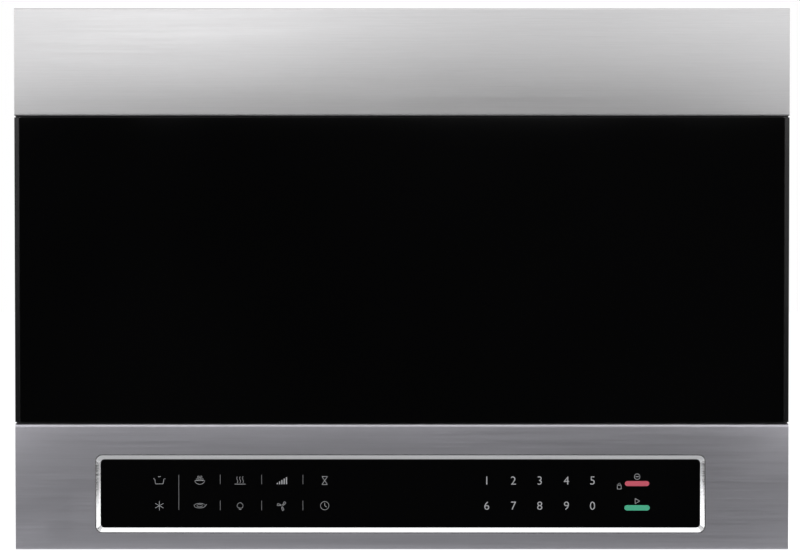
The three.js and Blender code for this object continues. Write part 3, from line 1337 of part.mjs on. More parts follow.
// glass behind the bezel
function touchGlass() {
  const x = about(BEZEL_X, BEZEL_WIDTH);
  const z = about(zBezel, BEZEL_HEIGHT);
  const inset = BEZEL_CHAMFER + BEZEL_RIM - GLASS_LAP;
  const outline = rectangle(grown(x, -inset), grown(z, -inset), TOUCH_CORNER);
  const face = BEZEL_CHAMFER + BEZEL_RIM + SEAT;
  const raised = rectangle(grown(x, -face), grown(z, -face), TOUCH_CORNER);
  return join(
    extrude(outline, "y", [yTouch, yTouch + TOUCH_GLASS]),
    extrude(raised, "y", [yFront + BEZEL_DEPTH, yTouch + SUNK]),
  );
}

// board with its display block in front and relays, connectors and a small transformer behind
function controlBoard() {
  const yBack = yTouch + TOUCH_GLASS + SEAT;
  const yBoard = yBack + BOARD_STANDOFF;
  const middle = yBoard + BOARD_THICK / 2;
  const part = (x, width, y, height) => block(about(x, width), y, about(zBezel, height));
  const post = BOARD_WIDTH / 2 - BOARD_POST_INSET;
  let board = join(
    part(BEZEL_X, BOARD_WIDTH, [yBoard, yBoard + BOARD_THICK], BOARD_HEIGHT),
    part(DISPLAY_X, DISPLAY_WIDTH, [yBack, middle], DISPLAY_HEIGHT),
    part(-post, BOARD_POST, [yBack, middle], BOARD_POST_HEIGHT),
    part(post, BOARD_POST, [yBack, middle], BOARD_POST_HEIGHT),
  );
  for (const [x, width, depth] of BOARD_PARTS) {
    board = join(board, part(x, width, [middle, yBoard + BOARD_THICK + depth], BOARD_PART_HEIGHT));
  }
  return board;
}

function outletSlotX(i) {
  return about((i - (OUTLET_SLOTS - 1) / 2) * outletPitch, OUTLET_WIDTH);
}

// vent cover: plain front, outlet slots in its top
function ventCover() {
  let cover = band(zVentBottom, zTop, BAND_EDGE, BAND_EDGE);
  const inside = grown([-half, half], -BAND_SHEET);
  const lipBack = [yFront + BAND_LIP, yFrame];
  cover = cut(cover, block(inside, lipBack, [zVentBottom - THROUGH, zVentBottom + 2 * BAND_SHEET]));
  const slotY = about((yFront + yFrame) / 2, OUTLET_LENGTH);
  for (let i = 0; i < OUTLET_SLOTS; i++) {
    cover = cut(cover, block(outletSlotX(i), slotY, [zTop - 2 * BAND_SHEET, zTop + THROUGH]));
  }
  return cover;
}

// black louvre insert under the outlet slots: frame, long vanes and cross ribs
function ventGrille() {
  const x = grown([-half, half], -BAND_SHEET - SEAT);
  const y = grown(about((yFront + yFrame) / 2, OUTLET_LENGTH), GRILLE_LAP);
  const high = zTop - BAND_SHEET - SEAT;
  const z = [high - GRILLE_DEPTH, high];
  let grille = cut(block(x, y, z), block(grown(x, -GRILLE_WALL), grown(y, -GRILLE_WALL), grown(z, THROUGH)));
  for (let i = 1; i <= GRILLE_VANES; i++) {
    const vane = new THREE.BoxGeometry(x[1] - x[0] - 2 * SUNK, VANE_THICK, VANE_HEIGHT);
    vane.rotateX(THREE.MathUtils.degToRad(VANE_TILT));
    vane.translate(0, y[0] + ((y[1] - y[0]) * i) / (GRILLE_VANES + 1), (z[0] + z[1]) / 2);
    grille = join(grille, solid(vane));
  }
  for (let i = 1; i <= GRILLE_RIBS; i++) {
    const at = x[0] + ((x[1] - x[0]) * i) / (GRILLE_RIBS + 1);
    grille = join(grille, block(about(at, GRILLE_RIB), grown(y, -SUNK), grown(z, -2 * SUNK)));
  }
  return grille;
}

// framed block of charcoal behind the vent opening, on the front frame
function charcoalFilter() {
  const x = about(0, CHARCOAL_WIDTH);
  const z = about(zVentBottom + VENT_HEIGHT / 2, CHARCOAL_HEIGHT);
  const y = [yFrame + SHEET + SEAT, yFrame + SHEET + SEAT + CHARCOAL_THICK];
  const openX = grown(x, -CHARCOAL_FRAME);
  const openZ = grown(z, -CHARCOAL_FRAME);
  const front = block(openX, [y[0] - THROUGH, y[0] + CHARCOAL_RECESS], openZ);
  const back = block(openX, [y[1] - CHARCOAL_RECESS, y[1] + THROUGH], openZ);
  return cut(block(x, y, z), front, back);
}

// ---------------------------------------------------------------- hinges and door

// steel plate on the front frame with a tongue that carries the riveted pin; side 1 is the upper one
function hingePlate(side) {
  const face = side > 0 ? zVentBottom + SEAT : zFasciaTop - SEAT;
  const z = side > 0 ? [face, face + HINGE_PLATE] : [face - HINGE_PLATE, face];
  const flangeZ = side > 0 ? [face, face + HINGE_FLANGE] : [face - HINGE_FLANGE, face];
  const x = [-half + BAND_SHEET + SEAT, -half + BAND_SHEET + SEAT + HINGE_WIDTH];
  const yPlate = [yFront + BAND_LIP + RUN, yFrame - SEAT];
  const tongue = extrude(rectangle(x, yPlate, HINGE_CORNER), "z", z);
  const flange = block(x, [yFrame - SEAT - HINGE_PLATE, yFrame - SEAT], flangeZ);
  const end = side > 0 ? zDoorTop - PIN_REACH : zDoorBottom + PIN_REACH;
  const pinZ = side > 0 ? [end, z[1]] : [z[0], end];
  return join(tongue, flange, rod("z", [xHinge, yHinge], PIN_RADIUS, pinZ));
}

function doorGlass() {
  const x = grown([-half, half], -DOOR_LIP - SEAT);
  const z = [zDoorBottom, zDoorTop];
  return extrude(rectangle(x, z, DOOR_GLASS_CORNER), "y", [yFront, yFront + DOOR_GLASS]);
}

// moulded tray: side lips beside the glass, web behind it, hinge bosses, finger pocket, latch guides
function doorFrame() {
  const x = [-half, half];
  const z = [zDoorBottom, zDoorTop];
  const windowY = grown([yWeb, yWeb + DOOR_WEB], THROUGH);
  const window = extrude(rectangle(windowX, windowZ, WINDOW_CORNER), "y", windowY);
  let frame = cut(
    block(x, [yFront, yDoorBack], z),
    block(grown(x, -DOOR_LIP), [yFront - THROUGH, yWeb], grown(z, THROUGH)),
    block(grown(x, -DOOR_WALL), [yWeb + DOOR_WEB, yDoorBack + THROUGH], grown(z, -DOOR_WALL)),
    window,
  );
  const pocketX = [half - POCKET_DEPTH, half];
  const pocketY = [yPocket, yPocket + POCKET_THROAT];
  const pocketZ = about((z[0] + z[1]) / 2, POCKET_HEIGHT);
  const cupX = [pocketX[0] - DOOR_WALL, half - SUNK];
  frame = join(frame, block(cupX, [yWeb + SUNK, pocketY[1] + DOOR_WALL], grown(pocketZ, DOOR_WALL)));
  const bossX = [-half + SUNK, -half + DOOR_WALL + BOSS_WIDTH];
  const bossY = [yWeb + SUNK, yHinge + PIN_RADIUS + DOOR_WALL];
  for (const up of [-1, 1]) {
    const edge = up > 0 ? z[1] : z[0];
    const between = (a, b) => (up > 0 ? [edge + a, edge + b] : [edge - b, edge - a]);
    frame = join(frame, block(bossX, bossY, between(-BOSS_HEIGHT, -SUNK)));
    const boreZ = between(-PIN_REACH - PIN_END_GAP, THROUGH);
    frame = cut(frame, rod("z", [xHinge, yHinge], PIN_RADIUS + RUN, boreZ));
  }
  for (const at of [zUpperHook + HOOK_ARM + CARRIER_OVERRUN / 2, zLowerHook - CARRIER_OVERRUN / 2]) {
    frame = join(frame, latchGuide(at));
  }
  frame = join(frame, springPost());
  return cut(frame, block([pocketX[0], half + THROUGH], pocketY, pocketZ));
}

const yCarrier = yDoorBack - COVER_THICK - CARRIER_GAP - CARRIER_DEPTH;
const zCarrier = [zLowerHook - CARRIER_OVERRUN, zUpperHook + HOOK_ARM + CARRIER_OVERRUN];

// pair of ribs from the web, one each side of the latch carrier
function latchGuide(z) {
  const yRoot = yWeb + SUNK;
  const gap = CARRIER_WIDTH / 2 + SEAT;
  const side = [yRoot, yCarrier + CARRIER_DEPTH];
  const ribZ = about(z, LATCH_RIB_HEIGHT);
  return join(
    block([xLatch - gap - LATCH_RIB, xLatch - gap], side, ribZ),
    block([xLatch + gap, xLatch + gap + LATCH_RIB], side, ribZ),
    block(grown(about(xLatch, 2 * gap), LATCH_RIB), [yRoot, yCarrier - SEAT], ribZ),
  );
}

const zSpringFoot = zCarrier[0] - SEAT - SPRING_LENGTH;

// seat under the latch spring
function springPost() {
  const seatZ = [zSpringFoot - SEAT - SPRING_SEAT_THICK, zSpringFoot - SEAT];
  const seat = block(about(xLatch, SPRING_SEAT), [yWeb + SUNK, yCarrier + CARRIER_DEPTH], seatZ);
  const axis = [xLatch, yCarrier + CARRIER_DEPTH / 2];
  const radius = SPRING_RADIUS - SPRING_WIRE - SPRING_POST_CLEARANCE;
  return join(seat, rod("z", axis, radius, [seatZ[1] - SUNK, zSpringFoot + SPRING_POST], 10));
}

// carrier bar inside the door with its two hooks; it lifts and drops by the latch travel
function latchHooks() {
  const x = about(xLatch, CARRIER_WIDTH);
  let latch = block(x, [yCarrier, yCarrier + CARRIER_DEPTH], zCarrier);
  const yRoot = yCarrier + 2 * SUNK;
  const yTip = yHookTip - HOOK_TIP;
  for (const [z, width] of [[zUpperHook, HOOK_THICK], [zLowerHook, WIDE_HOOK]]) {
    const hookX = [xLatch - HOOK_THICK / 2, xLatch - HOOK_THICK / 2 + width];
    const low = z - HOOK_NOSE;
    const outline = polygon([
      [yRoot, z], [yTip, z], [yTip, low], [yHookTip - HOOK_BEVEL, low], [yHookTip, low + HOOK_BEVEL],
      [yHookTip, z + HOOK_ARM], [yRoot, z + HOOK_ARM],
    ]);
    latch = join(latch, extrude(outline, "x", hookX));
  }
  return latch;
}

// helical spring under the carrier: one tube along its turns
function latchSpring() {
  const stepsATurn = 8;
  const steps = SPRING_TURNS * stepsATurn;
  const points = [];
  const yAxis = yCarrier + CARRIER_DEPTH / 2;
  const low = zSpringFoot + SPRING_WIRE;
  const rise = SPRING_LENGTH - 2 * SPRING_WIRE;
  for (let i = 0; i <= steps; i++) {
    const angle = (i / stepsATurn) * 2 * Math.PI;
    const x = xLatch + SPRING_RADIUS * Math.cos(angle);
    points.push(new THREE.Vector3(x, yAxis + SPRING_RADIUS * Math.sin(angle), low + (rise * i) / steps));
  }
  return helix(points, SPRING_WIRE, 4);
}

// closed tube of a few sides along points that wind about a vertical axis
function helix(points, radius, sides) {
  const position = [];
  const index = [];
  points.forEach((point, i) => {
    const before = points[Math.max(i - 1, 0)];
    const after = points[Math.min(i + 1, points.length - 1)];
    const along = after.clone().sub(before).normalize();
    const across = new THREE.Vector3(0, 0, 1).cross(along).normalize();
    const up = along.clone().cross(across);
    for (let j = 0; j < sides; j++) {
      const angle = (j / sides) * 2 * Math.PI;
      const p = point.clone();
      p.addScaledVector(across, radius * Math.cos(angle));
      p.addScaledVector(up, radius * Math.sin(angle));
      position.push(p.x, p.y, p.z);
    }
  });
  for (let i = 0; i + 1 < points.length; i++) {
    for (let j = 0; j < sides; j++) {
      const [a, b] = [i * sides + j, i * sides + ((j + 1) % sides)];
      index.push(a, b, a + sides, b, b + sides, a + sides);
    }
  }
  const last = (points.length - 1) * sides;
  for (let j = 1; j + 1 < sides; j++) {
    index.push(0, j + 1, j);
    index.push(last, last + j, last + j + 1);
  }
  const geometry = new THREE.BufferGeometry();
  geometry.setAttribute("position", new THREE.Float32BufferAttribute(position, 3));
  geometry.setIndex(index);
  return solid(geometry);
}

const chokeX = [xCavityLeft - CHOKE_LAP_LEFT, xCavityRight + CHOKE_LAP_RIGHT];
const chokeZ = [zFloor - CHOKE_LAP_TOP, zCeiling + CHOKE_LAP_TOP];
const yChoke = yDoorBack - COVER_THICK - SEAT - CHOKE_WALL;

// steel pan with a folded lip and a comb of slots round it, open at the window
function doorChoke() {
  const y = [yChoke, yChoke + CHOKE_WALL];
  const pan = cut(
    block(chokeX, y, chokeZ),
    block(grown(chokeX, -SHEET), [y[0] + SHEET, y[1] - SHEET], grown(chokeZ, -SHEET)),
    block(grown(chokeX, -CHOKE_LIP), [y[1] - 2 * SHEET, y[1] + THROUGH], grown(chokeZ, -CHOKE_LIP)),
  );
  const window = rectangle(windowX, windowZ, WINDOW_CORNER);
  let choke = cut(pan, extrude(window, "y", grown([y[0], y[0] + SHEET], THROUGH)));
  const slotY = [y[1] - CHOKE_WALL / 2, y[1] + THROUGH];
  for (let i = 0; i < CHOKE_SLOTS; i++) {
    const at = chokeX[0] + ((chokeX[1] - chokeX[0]) * (i + 0.5)) / CHOKE_SLOTS;
    choke = cut(choke, block(about(at, CHOKE_SLOT), slotY, grown(chokeZ, THROUGH)));
  }
  return choke;
}

function windowScreen() {
  const outline = rectangle(grown(windowX, SCREEN_LAP), grown(windowZ, SCREEN_LAP), WINDOW_CORNER);
  const y = yChoke + SHEET + SEAT;
  return extrude(outline, "y", [y, y + SCREEN_THICK]);
}

// plastic inner cover across the back of the door, with the two latch slots
function chokeCover() {
  const x = grown([-half, half], -DOOR_WALL - SEAT);
  const z = grown([zDoorBottom, zDoorTop], -DOOR_WALL - SEAT);
  const y = [yDoorBack - COVER_THICK, yDoorBack];
  let cover = extrude(rectangle(x, z, COVER_CORNER), "y", y);
  for (const slot of LATCH_SLOTS) {
    const low = slot.z[0] - LATCH_TRAVEL - RUN;
    cover = cut(cover, block(slot.x, grown(y, THROUGH), [low, slot.z[1]]));
  }
  return cover;
}

// ---------------------------------------------------------------- interlock

const SWITCH_PLACES = {
  primary: { x: xLatch, z: zUpperHook + HOOK_ARM / 2 },
  secondary: { x: xLatch, z: zLowerHook + HOOK_ARM / 2 },
  monitor: { x: xLatch + SWITCH_THICK + SEAT, z: zLowerHook + HOOK_ARM / 2 },
};
const yPlungerTip = yHookTip + SEAT;
const ySwitch = yPlungerTip + PLUNGER_REACH;

// moulding behind the front frame: face plate with the catch slots, and a wall that carries the switches
function latchBracket() {
  const yFace = yFrame + SHEET + SEAT;
  const faceY = [yFace, yFace + BRACKET_THICK];
  const wall = xLatch - SWITCH_THICK / 2 - SEAT;
  const wallX = [wall - BRACKET_THICK, wall];
  const z = [zLowerHook - SWITCH_LONG / 2, zUpperHook + HOOK_ARM + SWITCH_LONG / 2];
  const yBack = ySwitch + SWITCH_DEEP;
  let bracket = join(
    block([wallX[0], insideHalf - BRACKET_SIDE_GAP], faceY, z),
    block(wallX, [yFace, yBack], z),
  );
  for (const slot of LATCH_SLOTS) {
    bracket = cut(bracket, block([wall, slot.x[1]], grown(faceY, THROUGH), slot.z));
  }
  const span = grown(z, -SWITCH_LONG - BRACKET_WEB);
  return cut(bracket, block(grown(wallX, THROUGH), [yFace + 3 * BRACKET_THICK, yBack + THROUGH], span));
}

// snap-action switch body with two screw holes, three blades and the plunger's well
function switchBody({ x, z }) {
  const y = [ySwitch, ySwitch + SWITCH_DEEP];
  const thick = about(x, SWITCH_THICK);
  let body = block(thick, y, about(z, SWITCH_LONG));
  for (const side of [-1, 1]) {
    const hole = [y[0] + SWITCH_HOLE_INSET, z + side * (SWITCH_LONG / 2 - SWITCH_HOLE_INSET)];
    body = cut(body, rod("x", hole, SWITCH_HOLE_RADIUS, grown(thick, THROUGH), 8));
  }
  for (const step of [-1, 0, 1]) {
    const bladeZ = about(z + step * SWITCH_BLADE_PITCH, SWITCH_BLADE_WIDTH);
    const blade = block(about(x, SWITCH_BLADE_THICK), [y[1] - SUNK, y[1] + SWITCH_BLADE_LENGTH], bladeZ);
    body = join(body, blade);
  }
  const well = PLUNGER_WIDTH + 2 * SEAT;
  return cut(body, block(about(x, well), [y[0] - THROUGH, y[0] + PLUNGER_WELL], about(z, well)));
}

function plunger({ x, z }) {
  const y = [yPlungerTip, ySwitch + PLUNGER_WELL - PLUNGER_TRAVEL - SEAT];
  return block(about(x, PLUNGER_WIDTH), y, about(z, PLUNGER_WIDTH));
}

// ---------------------------------------------------------------- the assembly

const oven = new THREE.Group();

add(oven, "wall_plate", wallPlate(), GALVANISED);
add(oven, "rear_panel", rearPanel(), GALVANISED);
add(oven, "outer_wrap", outerWrap(), CASE_PAINT);
add(oven, "base_plate", basePlate(), CASE_PAINT);
add(oven, "front_frame", frontFrame(), CASE_PAINT);
add(groupAt(oven, xCord, yRear - CORD_INSET, 0), "cord_bushing", cordBushing(), BLACK_PLASTIC);

add(oven, "cavity", cavity(), ENAMEL);
add(oven, "waveguide", waveguide(), GALVANISED);
add(oven, "waveguide_cover", waveguideCover(), MICA_SHEET);
add(oven, "cavity_lamp", cavityLamp(), LAMP_GLASS);

add(oven, "magnetron_yoke", magnetronYoke(), GALVANISED);
add(oven, "magnetron_anode", magnetronAnode(), ALUMINIUM);
add(oven, "magnetron_filter_box", magnetronFilterBox(), GALVANISED);
add(oven, "transformer_core", transformerCore(), LAMINATION);
add(oven, "transformer_primary", transformerWinding(-1), COPPER);
add(oven, "transformer_secondary", transformerWinding(1), COPPER);
add(oven, "hv_capacitor", capacitor(), ALUMINIUM);

const fan = groupAt(oven, xFan, yFan, zFan);
fan.rotation.x = -Math.PI / 2;
add(fan, "cooling_fan_shroud", fanShroud(), BLACK_PLASTIC);
add(fan, "cooling_fan", fanRotor(), GREY_PLASTIC);

add(oven, "blower_housing", blowerHousing(), GALVANISED);
add(oven, "blower_motor", blowerMotor(), STEEL);
const blower = groupAt(oven, 0, yScroll, zScroll);
const wheelStart = DUCT_WIDTH / 2 - SCROLL_WIDTH / 2 - WHEEL_WIDTH / 2;
const rightWheel = add(blower, "blower_wheel_right", blowerWheel(), GALVANISED);
rightWheel.position.x = wheelStart;
rightWheel.rotation.y = Math.PI / 2;
const leftWheel = add(blower, "blower_wheel_left", blowerWheel(), GALVANISED);
leftWheel.position.x = -wheelStart;
leftWheel.rotation.y = -Math.PI / 2;
const shaft = rod("x", [0, 0], SHAFT_RADIUS, about(0, 2 * (wheelStart + SHAFT_PAST_WHEEL)));
add(blower, "blower_shaft", shaft, STEEL);

add(oven, "exhaust_collar", exhaustCollar(), GALVANISED);
const flapAt = flapPlace();
add(groupAt(oven, 0, flapAt.y, flapAt.z), "damper_flap", damperFlap(), ALUMINIUM);

add(groupAt(oven, xFilterLeft, yFilter, zBase), "grease_filter_left", greaseFilter(), ALUMINIUM);
add(groupAt(oven, xFilterRight, yFilter, zBase), "grease_filter_right", greaseFilter(), ALUMINIUM);
const lens = lensOpening();
add(groupAt(oven, 0, lens.yPivot, lens.zPivot), "lamp_cover", lampCover(), CLEAR_GLASS);
add(oven, "cooktop_lamp", cooktopLamp(), LAMP_GLASS);

const turntable = groupAt(oven, xOven, yOven, 0);
add(turntable, "glass_tray", glassTray(), CLEAR_GLASS);
add(turntable, "drive_coupler", driveCoupler(), WHITE_PLASTIC);
add(turntable, "turntable_motor", turntableMotor(), STEEL);
const ring = groupAt(turntable, 0, 0, zTrack + SEAT + ROLLER_RADIUS);
add(ring, "roller_ring", rollerRing(), WHITE_PLASTIC);
for (let i = 0; i < ROLLERS; i++) {
  const spoke = groupAt(ring, 0, 0, 0);
  spoke.rotation.z = (i * 2 * Math.PI) / ROLLERS;
  const wheel = add(spoke, `roller_${i + 1}`, roller(), WHITE_PLASTIC);
  wheel.position.x = rollerTrack;
  wheel.rotation.y = Math.PI / 2;
}

add(oven, "control_fascia", controlFascia(), FASCIA_STEEL);
add(oven, "control_bezel", controlBezel(), POLISHED);
add(oven, "touch_glass", touchGlass(), BLACK_GLASS);
add(oven, "control_board", controlBoard(), BOARD_GREEN);
add(oven, "vent_cover", ventCover(), BRUSHED);
add(oven, "vent_grille", ventGrille(), BLACK_PLASTIC);
add(oven, "charcoal_filter", charcoalFilter(), CHARCOAL);

add(oven, "upper_hinge_plate", hingePlate(1), STEEL);
add(oven, "lower_hinge_plate", hingePlate(-1), STEEL);
add(oven, "door_glass", doorGlass(), BLACK_GLASS);
add(oven, "door_frame", doorFrame(), BLACK_PLASTIC);
add(oven, "door_choke", doorChoke(), GALVANISED);
add(oven, "window_screen", windowScreen(), CASE_PAINT);
add(oven, "choke_cover", chokeCover(), BLACK_PLASTIC);
add(oven, "latch_hooks", latchHooks(), GREY_PLASTIC);
add(oven, "latch_spring", latchSpring(), STEEL);

add(oven, "latch_bracket", latchBracket(), GALVANISED);
for (const [name, place] of Object.entries(SWITCH_PLACES)) {
  add(oven, `switch_${name}`, switchBody(place), BLACK_PLASTIC);
  add(oven, `plunger_${name}`, plunger(place), RED_PLASTIC);
}

export default oven;
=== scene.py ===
# Over-the-range microwave oven of the 24 inch class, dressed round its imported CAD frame.
# Metres, +Z up, +X to the viewer's right; the front faces -Y and the wall is the plane y = 0.

import math

import bmesh
import bpy
from mathutils import Euler, Matrix, Vector


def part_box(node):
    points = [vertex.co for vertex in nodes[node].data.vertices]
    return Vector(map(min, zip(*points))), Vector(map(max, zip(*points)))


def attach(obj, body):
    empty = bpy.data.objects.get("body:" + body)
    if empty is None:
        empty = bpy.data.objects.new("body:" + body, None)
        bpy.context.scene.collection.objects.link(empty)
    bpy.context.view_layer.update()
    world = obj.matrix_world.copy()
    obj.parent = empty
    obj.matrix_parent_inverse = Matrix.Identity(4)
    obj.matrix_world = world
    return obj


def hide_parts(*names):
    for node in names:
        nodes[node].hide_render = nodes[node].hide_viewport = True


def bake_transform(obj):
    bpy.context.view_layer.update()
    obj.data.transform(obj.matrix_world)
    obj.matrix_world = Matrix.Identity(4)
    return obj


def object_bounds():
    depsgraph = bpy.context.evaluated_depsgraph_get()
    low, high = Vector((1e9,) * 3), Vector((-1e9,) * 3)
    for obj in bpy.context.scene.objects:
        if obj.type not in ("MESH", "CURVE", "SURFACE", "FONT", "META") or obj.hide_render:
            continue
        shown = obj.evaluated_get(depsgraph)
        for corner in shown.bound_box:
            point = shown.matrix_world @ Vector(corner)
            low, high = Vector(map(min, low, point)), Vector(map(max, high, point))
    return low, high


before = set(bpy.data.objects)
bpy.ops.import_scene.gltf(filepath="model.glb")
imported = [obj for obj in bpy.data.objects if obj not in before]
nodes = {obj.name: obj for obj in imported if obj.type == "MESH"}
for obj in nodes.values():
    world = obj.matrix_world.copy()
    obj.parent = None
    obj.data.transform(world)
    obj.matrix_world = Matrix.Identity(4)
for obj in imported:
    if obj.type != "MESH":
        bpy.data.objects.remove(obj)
cad_box = [list(corner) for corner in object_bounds()]
MM = 0.001

# ------------------------------------------------------------------ camera, floor and light
# A long lens looks a little down at the front from 2.5 m, as in the photograph. The oven hangs over
# a plain pale floor. Two dark cards, one near and one behind the lens, keep the black glass and the
# steel under the door as dark as a studio would: gloss sees them, and nothing else does.

FOCAL_LENGTH, FILM_WIDTH = 143.8, 36
EYE = (-0.0015, -2.894, 0.0725)
LOOKS_DOWN = 1.652  # degrees

lens = bpy.data.cameras.new("lens")
lens.lens = FOCAL_LENGTH
lens.sensor_width = FILM_WIDTH
eye = bpy.data.objects.new("eye", lens)
eye.location = EYE
eye.rotation_euler = Euler((math.radians(90 - LOOKS_DOWN), 0, 0))
bpy.context.scene.collection.objects.link(eye)
bpy.context.scene.camera = eye
bpy.context.scene.view_settings.view_transform = "Standard"


def piece_of(name, bm, look, smooth=30):
    """A piece made from a bmesh, shaded smooth where its faces meet at less than an angle."""
    mesh = bpy.data.meshes.new(name)
    bm.to_mesh(mesh)
    bm.free()
    mesh.materials.append(look)
    mesh.shade_smooth()
    mesh.set_sharp_from_angle(angle=math.radians(smooth))
    piece = bpy.data.objects.new(name, mesh)
    bpy.context.scene.collection.objects.link(piece)
    return piece


def stage_sheet(name, width, length, place, look):
    """A flat sheet that belongs to the studio and not to the oven."""
    bm = bmesh.new()
    bmesh.ops.create_grid(bm, x_segments=1, y_segments=1, size=0.5)
    bmesh.ops.scale(bm, vec=(width, length, 1), verts=bm.verts)
    bmesh.ops.transform(bm, matrix=place, verts=bm.verts)
    sheet = piece_of(name, bm, look)
    return sheet


def finish_of(name):
    """A new material: itself, its shader, its nodes and the call that links them."""
    look = bpy.data.materials.new(name)
    look.use_nodes = True
    parts = look.node_tree.nodes
    return look, parts["Principled BSDF"], parts, look.node_tree.links.new


def reckon(parts, link, operation, *values):
    """A Math node over sockets and numbers."""
    result = parts.new("ShaderNodeMath")
    result.operation = operation
    for socket, value in zip(result.inputs, values):
        if isinstance(value, (int, float)):
            socket.default_value = value
        else:
            link(value, socket)
    return result.outputs[0]


def seen_or_mirrored(parts, link):
    """1 on a ray from the camera, from gloss or through glass, and 0 on light that scatters."""
    path = parts.new("ShaderNodeLightPath")
    direct = reckon(parts, link, "MAXIMUM", path.outputs["Is Camera Ray"], path.outputs["Is Glossy Ray"])
    return reckon(parts, link, "MAXIMUM", direct, path.outputs["Is Transmission Ray"])


FLOOR_BELOW, FLOOR_SIZE = 0.3, 24
GLOW_STARTS, GLOW_FULL = 0.9, 2.2  # metres from the middle of the floor
GLOW_NEAR, GLOW_FAR = 0.08, 0.5
floor_look, shader, parts, link = finish_of("studio_floor")
shader.inputs["Base Color"].default_value = (0.8, 0.8, 0.8, 1)
shader.inputs["Roughness"].default_value = 0.9
shader.inputs["Emission Color"].default_value = (1, 1, 1, 1)
where = parts.new("ShaderNodeTexCoord")
reach = parts.new("ShaderNodeVectorMath")
reach.operation = "LENGTH"
link(where.outputs["Object"], reach.inputs[0])
fade = parts.new("ShaderNodeMapRange")
fade.inputs["From Min"].default_value = GLOW_STARTS
fade.inputs["From Max"].default_value = GLOW_FULL
fade.inputs["To Min"].default_value = GLOW_NEAR
fade.inputs["To Max"].default_value = GLOW_FAR
link(reach.outputs["Value"], fade.inputs["Value"])
link(
    reckon(parts, link, "MULTIPLY", fade.outputs[0], seen_or_mirrored(parts, link)),
    shader.inputs["Emission Strength"],
)
clear = parts.new("ShaderNodeBsdfTransparent")  # the floor doesn't hide the underside from below
one_sided = parts.new("ShaderNodeMixShader")
link(parts.new("ShaderNodeNewGeometry").outputs["Backfacing"], one_sided.inputs[0])
link(shader.outputs[0], one_sided.inputs[1])
link(clear.outputs[0], one_sided.inputs[2])
link(one_sided.outputs[0], parts["Material Output"].inputs["Surface"])
floor_place = Matrix.Translation((0, 0, cad_box[0][2] - FLOOR_BELOW))
stage_sheet("studio_floor", FLOOR_SIZE, FLOOR_SIZE, floor_place, floor_look)

card_look, shader, parts, link = finish_of("studio_card")
shader.inputs["Base Color"].default_value = (0.004, 0.004, 0.004, 1)
shader.inputs["Specular IOR Level"].default_value = 0
# the near card narrows upwards, so that the polished frame's lower corners don't mirror it
CARDS = {  # y, foot, top, width at the foot and at the top
    "near_card": (-0.75, -0.34, 0.06, 1.3, 0.56),
    "far_card": (-3.2, -0.51, 0.2, 1.5, 1.5),
}
for name, (y, low, high, width, top_width) in CARDS.items():
    stand = Matrix.Translation((0, y, (low + high) / 2)) @ Matrix.Rotation(-math.pi / 2, 4, "X")
    card = stage_sheet(name, width, high - low, stand, card_look)
    for corner in card.data.vertices:
        if corner.co.z > (low + high) / 2:
            corner.co.x *= top_width / width
    card.visible_camera = False
    card.visible_diffuse = False
    card.visible_shadow = False

LIT_POINT = Vector((0, -0.2, 0))
SOFTBOXES = {  # place, width, height, watts
    "softbox_over": ((0, -1.5, 2.1), 1.8, 0.6, 5),
    "softbox_front_left": ((-0.36, -2.5, 0.7), 0.4, 0.9, 4),
    "softbox_front_right": ((0.6, -2.5, 0.7), 0.5, 0.9, 2),
    "softbox_left": ((-2.2, -1.25, 0.15), 1.2, 1.2, 6),
    "softbox_right": ((2.2, -1.25, 0.15), 1.2, 1.2, 6),
    "softbox_behind": ((0.4, 2.6, 1.3), 1.4, 1.2, 14),
}
for name, (place, width, height, watts) in SOFTBOXES.items():
    glow = bpy.data.lights.new(name, "AREA")
    glow.shape = "RECTANGLE"
    glow.size, glow.size_y, glow.energy = width, height, watts
    lamp = bpy.data.objects.new(name, glow)
    lamp.location = place
    lamp.rotation_euler = (LIT_POINT - Vector(place)).to_track_quat("-Z", "Y").to_euler()
    bpy.context.scene.collection.objects.link(lamp)

SCATTERED_SKY = 0.62
sky = bpy.data.worlds.new("studio")
sky.use_nodes = True
bpy.context.scene.world = sky
parts, link = sky.node_tree.nodes, sky.node_tree.links.new
parts["Background"].inputs["Color"].default_value = (1, 1, 1, 1)
scattered = parts.new("ShaderNodeBackground")
scattered.inputs["Color"].default_value = (0.97, 0.98, 1, 1)
scattered.inputs["Strength"].default_value = SCATTERED_SKY
choice = parts.new("ShaderNodeMixShader")
link(seen_or_mirrored(parts, link), choice.inputs[0])
link(scattered.outputs[0], choice.inputs[1])
link(parts["Background"].outputs[0], choice.inputs[2])
link(choice.outputs[0], parts["World Output"].inputs["Surface"])

# ------------------------------------------------------------------ wall plate and rear panel
# Pressed from hot-dip galvanised sheet, whose zinc freezes in flat crystals. The plate is lagged to
# the studs, and its two hooks carry the rear panel.


def spread(parts, link, value, low, high, start=0.3, end=0.7):
    """A value between start and end carried to low and high."""
    to = parts.new("ShaderNodeMapRange")
    for socket, number in (("From Min", start), ("From Max", end), ("To Min", low), ("To Max", high)):
        to.inputs[socket].default_value = number
    link(value, to.inputs["Value"])
    return to.outputs[0]


def placed(parts, link, stretch):
    """Object coordinates, stretched by one number or by one for each axis."""
    coordinates = parts.new("ShaderNodeTexCoord")
    place = parts.new("ShaderNodeMapping")
    place.inputs["Scale"].default_value = stretch if isinstance(stretch, tuple) else (stretch,) * 3
    link(coordinates.outputs["Object"], place.inputs["Vector"])
    return place.outputs[0]


def grain(parts, link, stretch, detail=3.0, roughness=0.55):
    """Noise that is finer along an axis the larger its stretch there."""
    noise = parts.new("ShaderNodeTexNoise")
    noise.inputs["Scale"].default_value = 1
    noise.inputs["Detail"].default_value = detail
    noise.inputs["Roughness"].default_value = roughness
    link(placed(parts, link, stretch), noise.inputs["Vector"])
    return noise.outputs["Fac"]


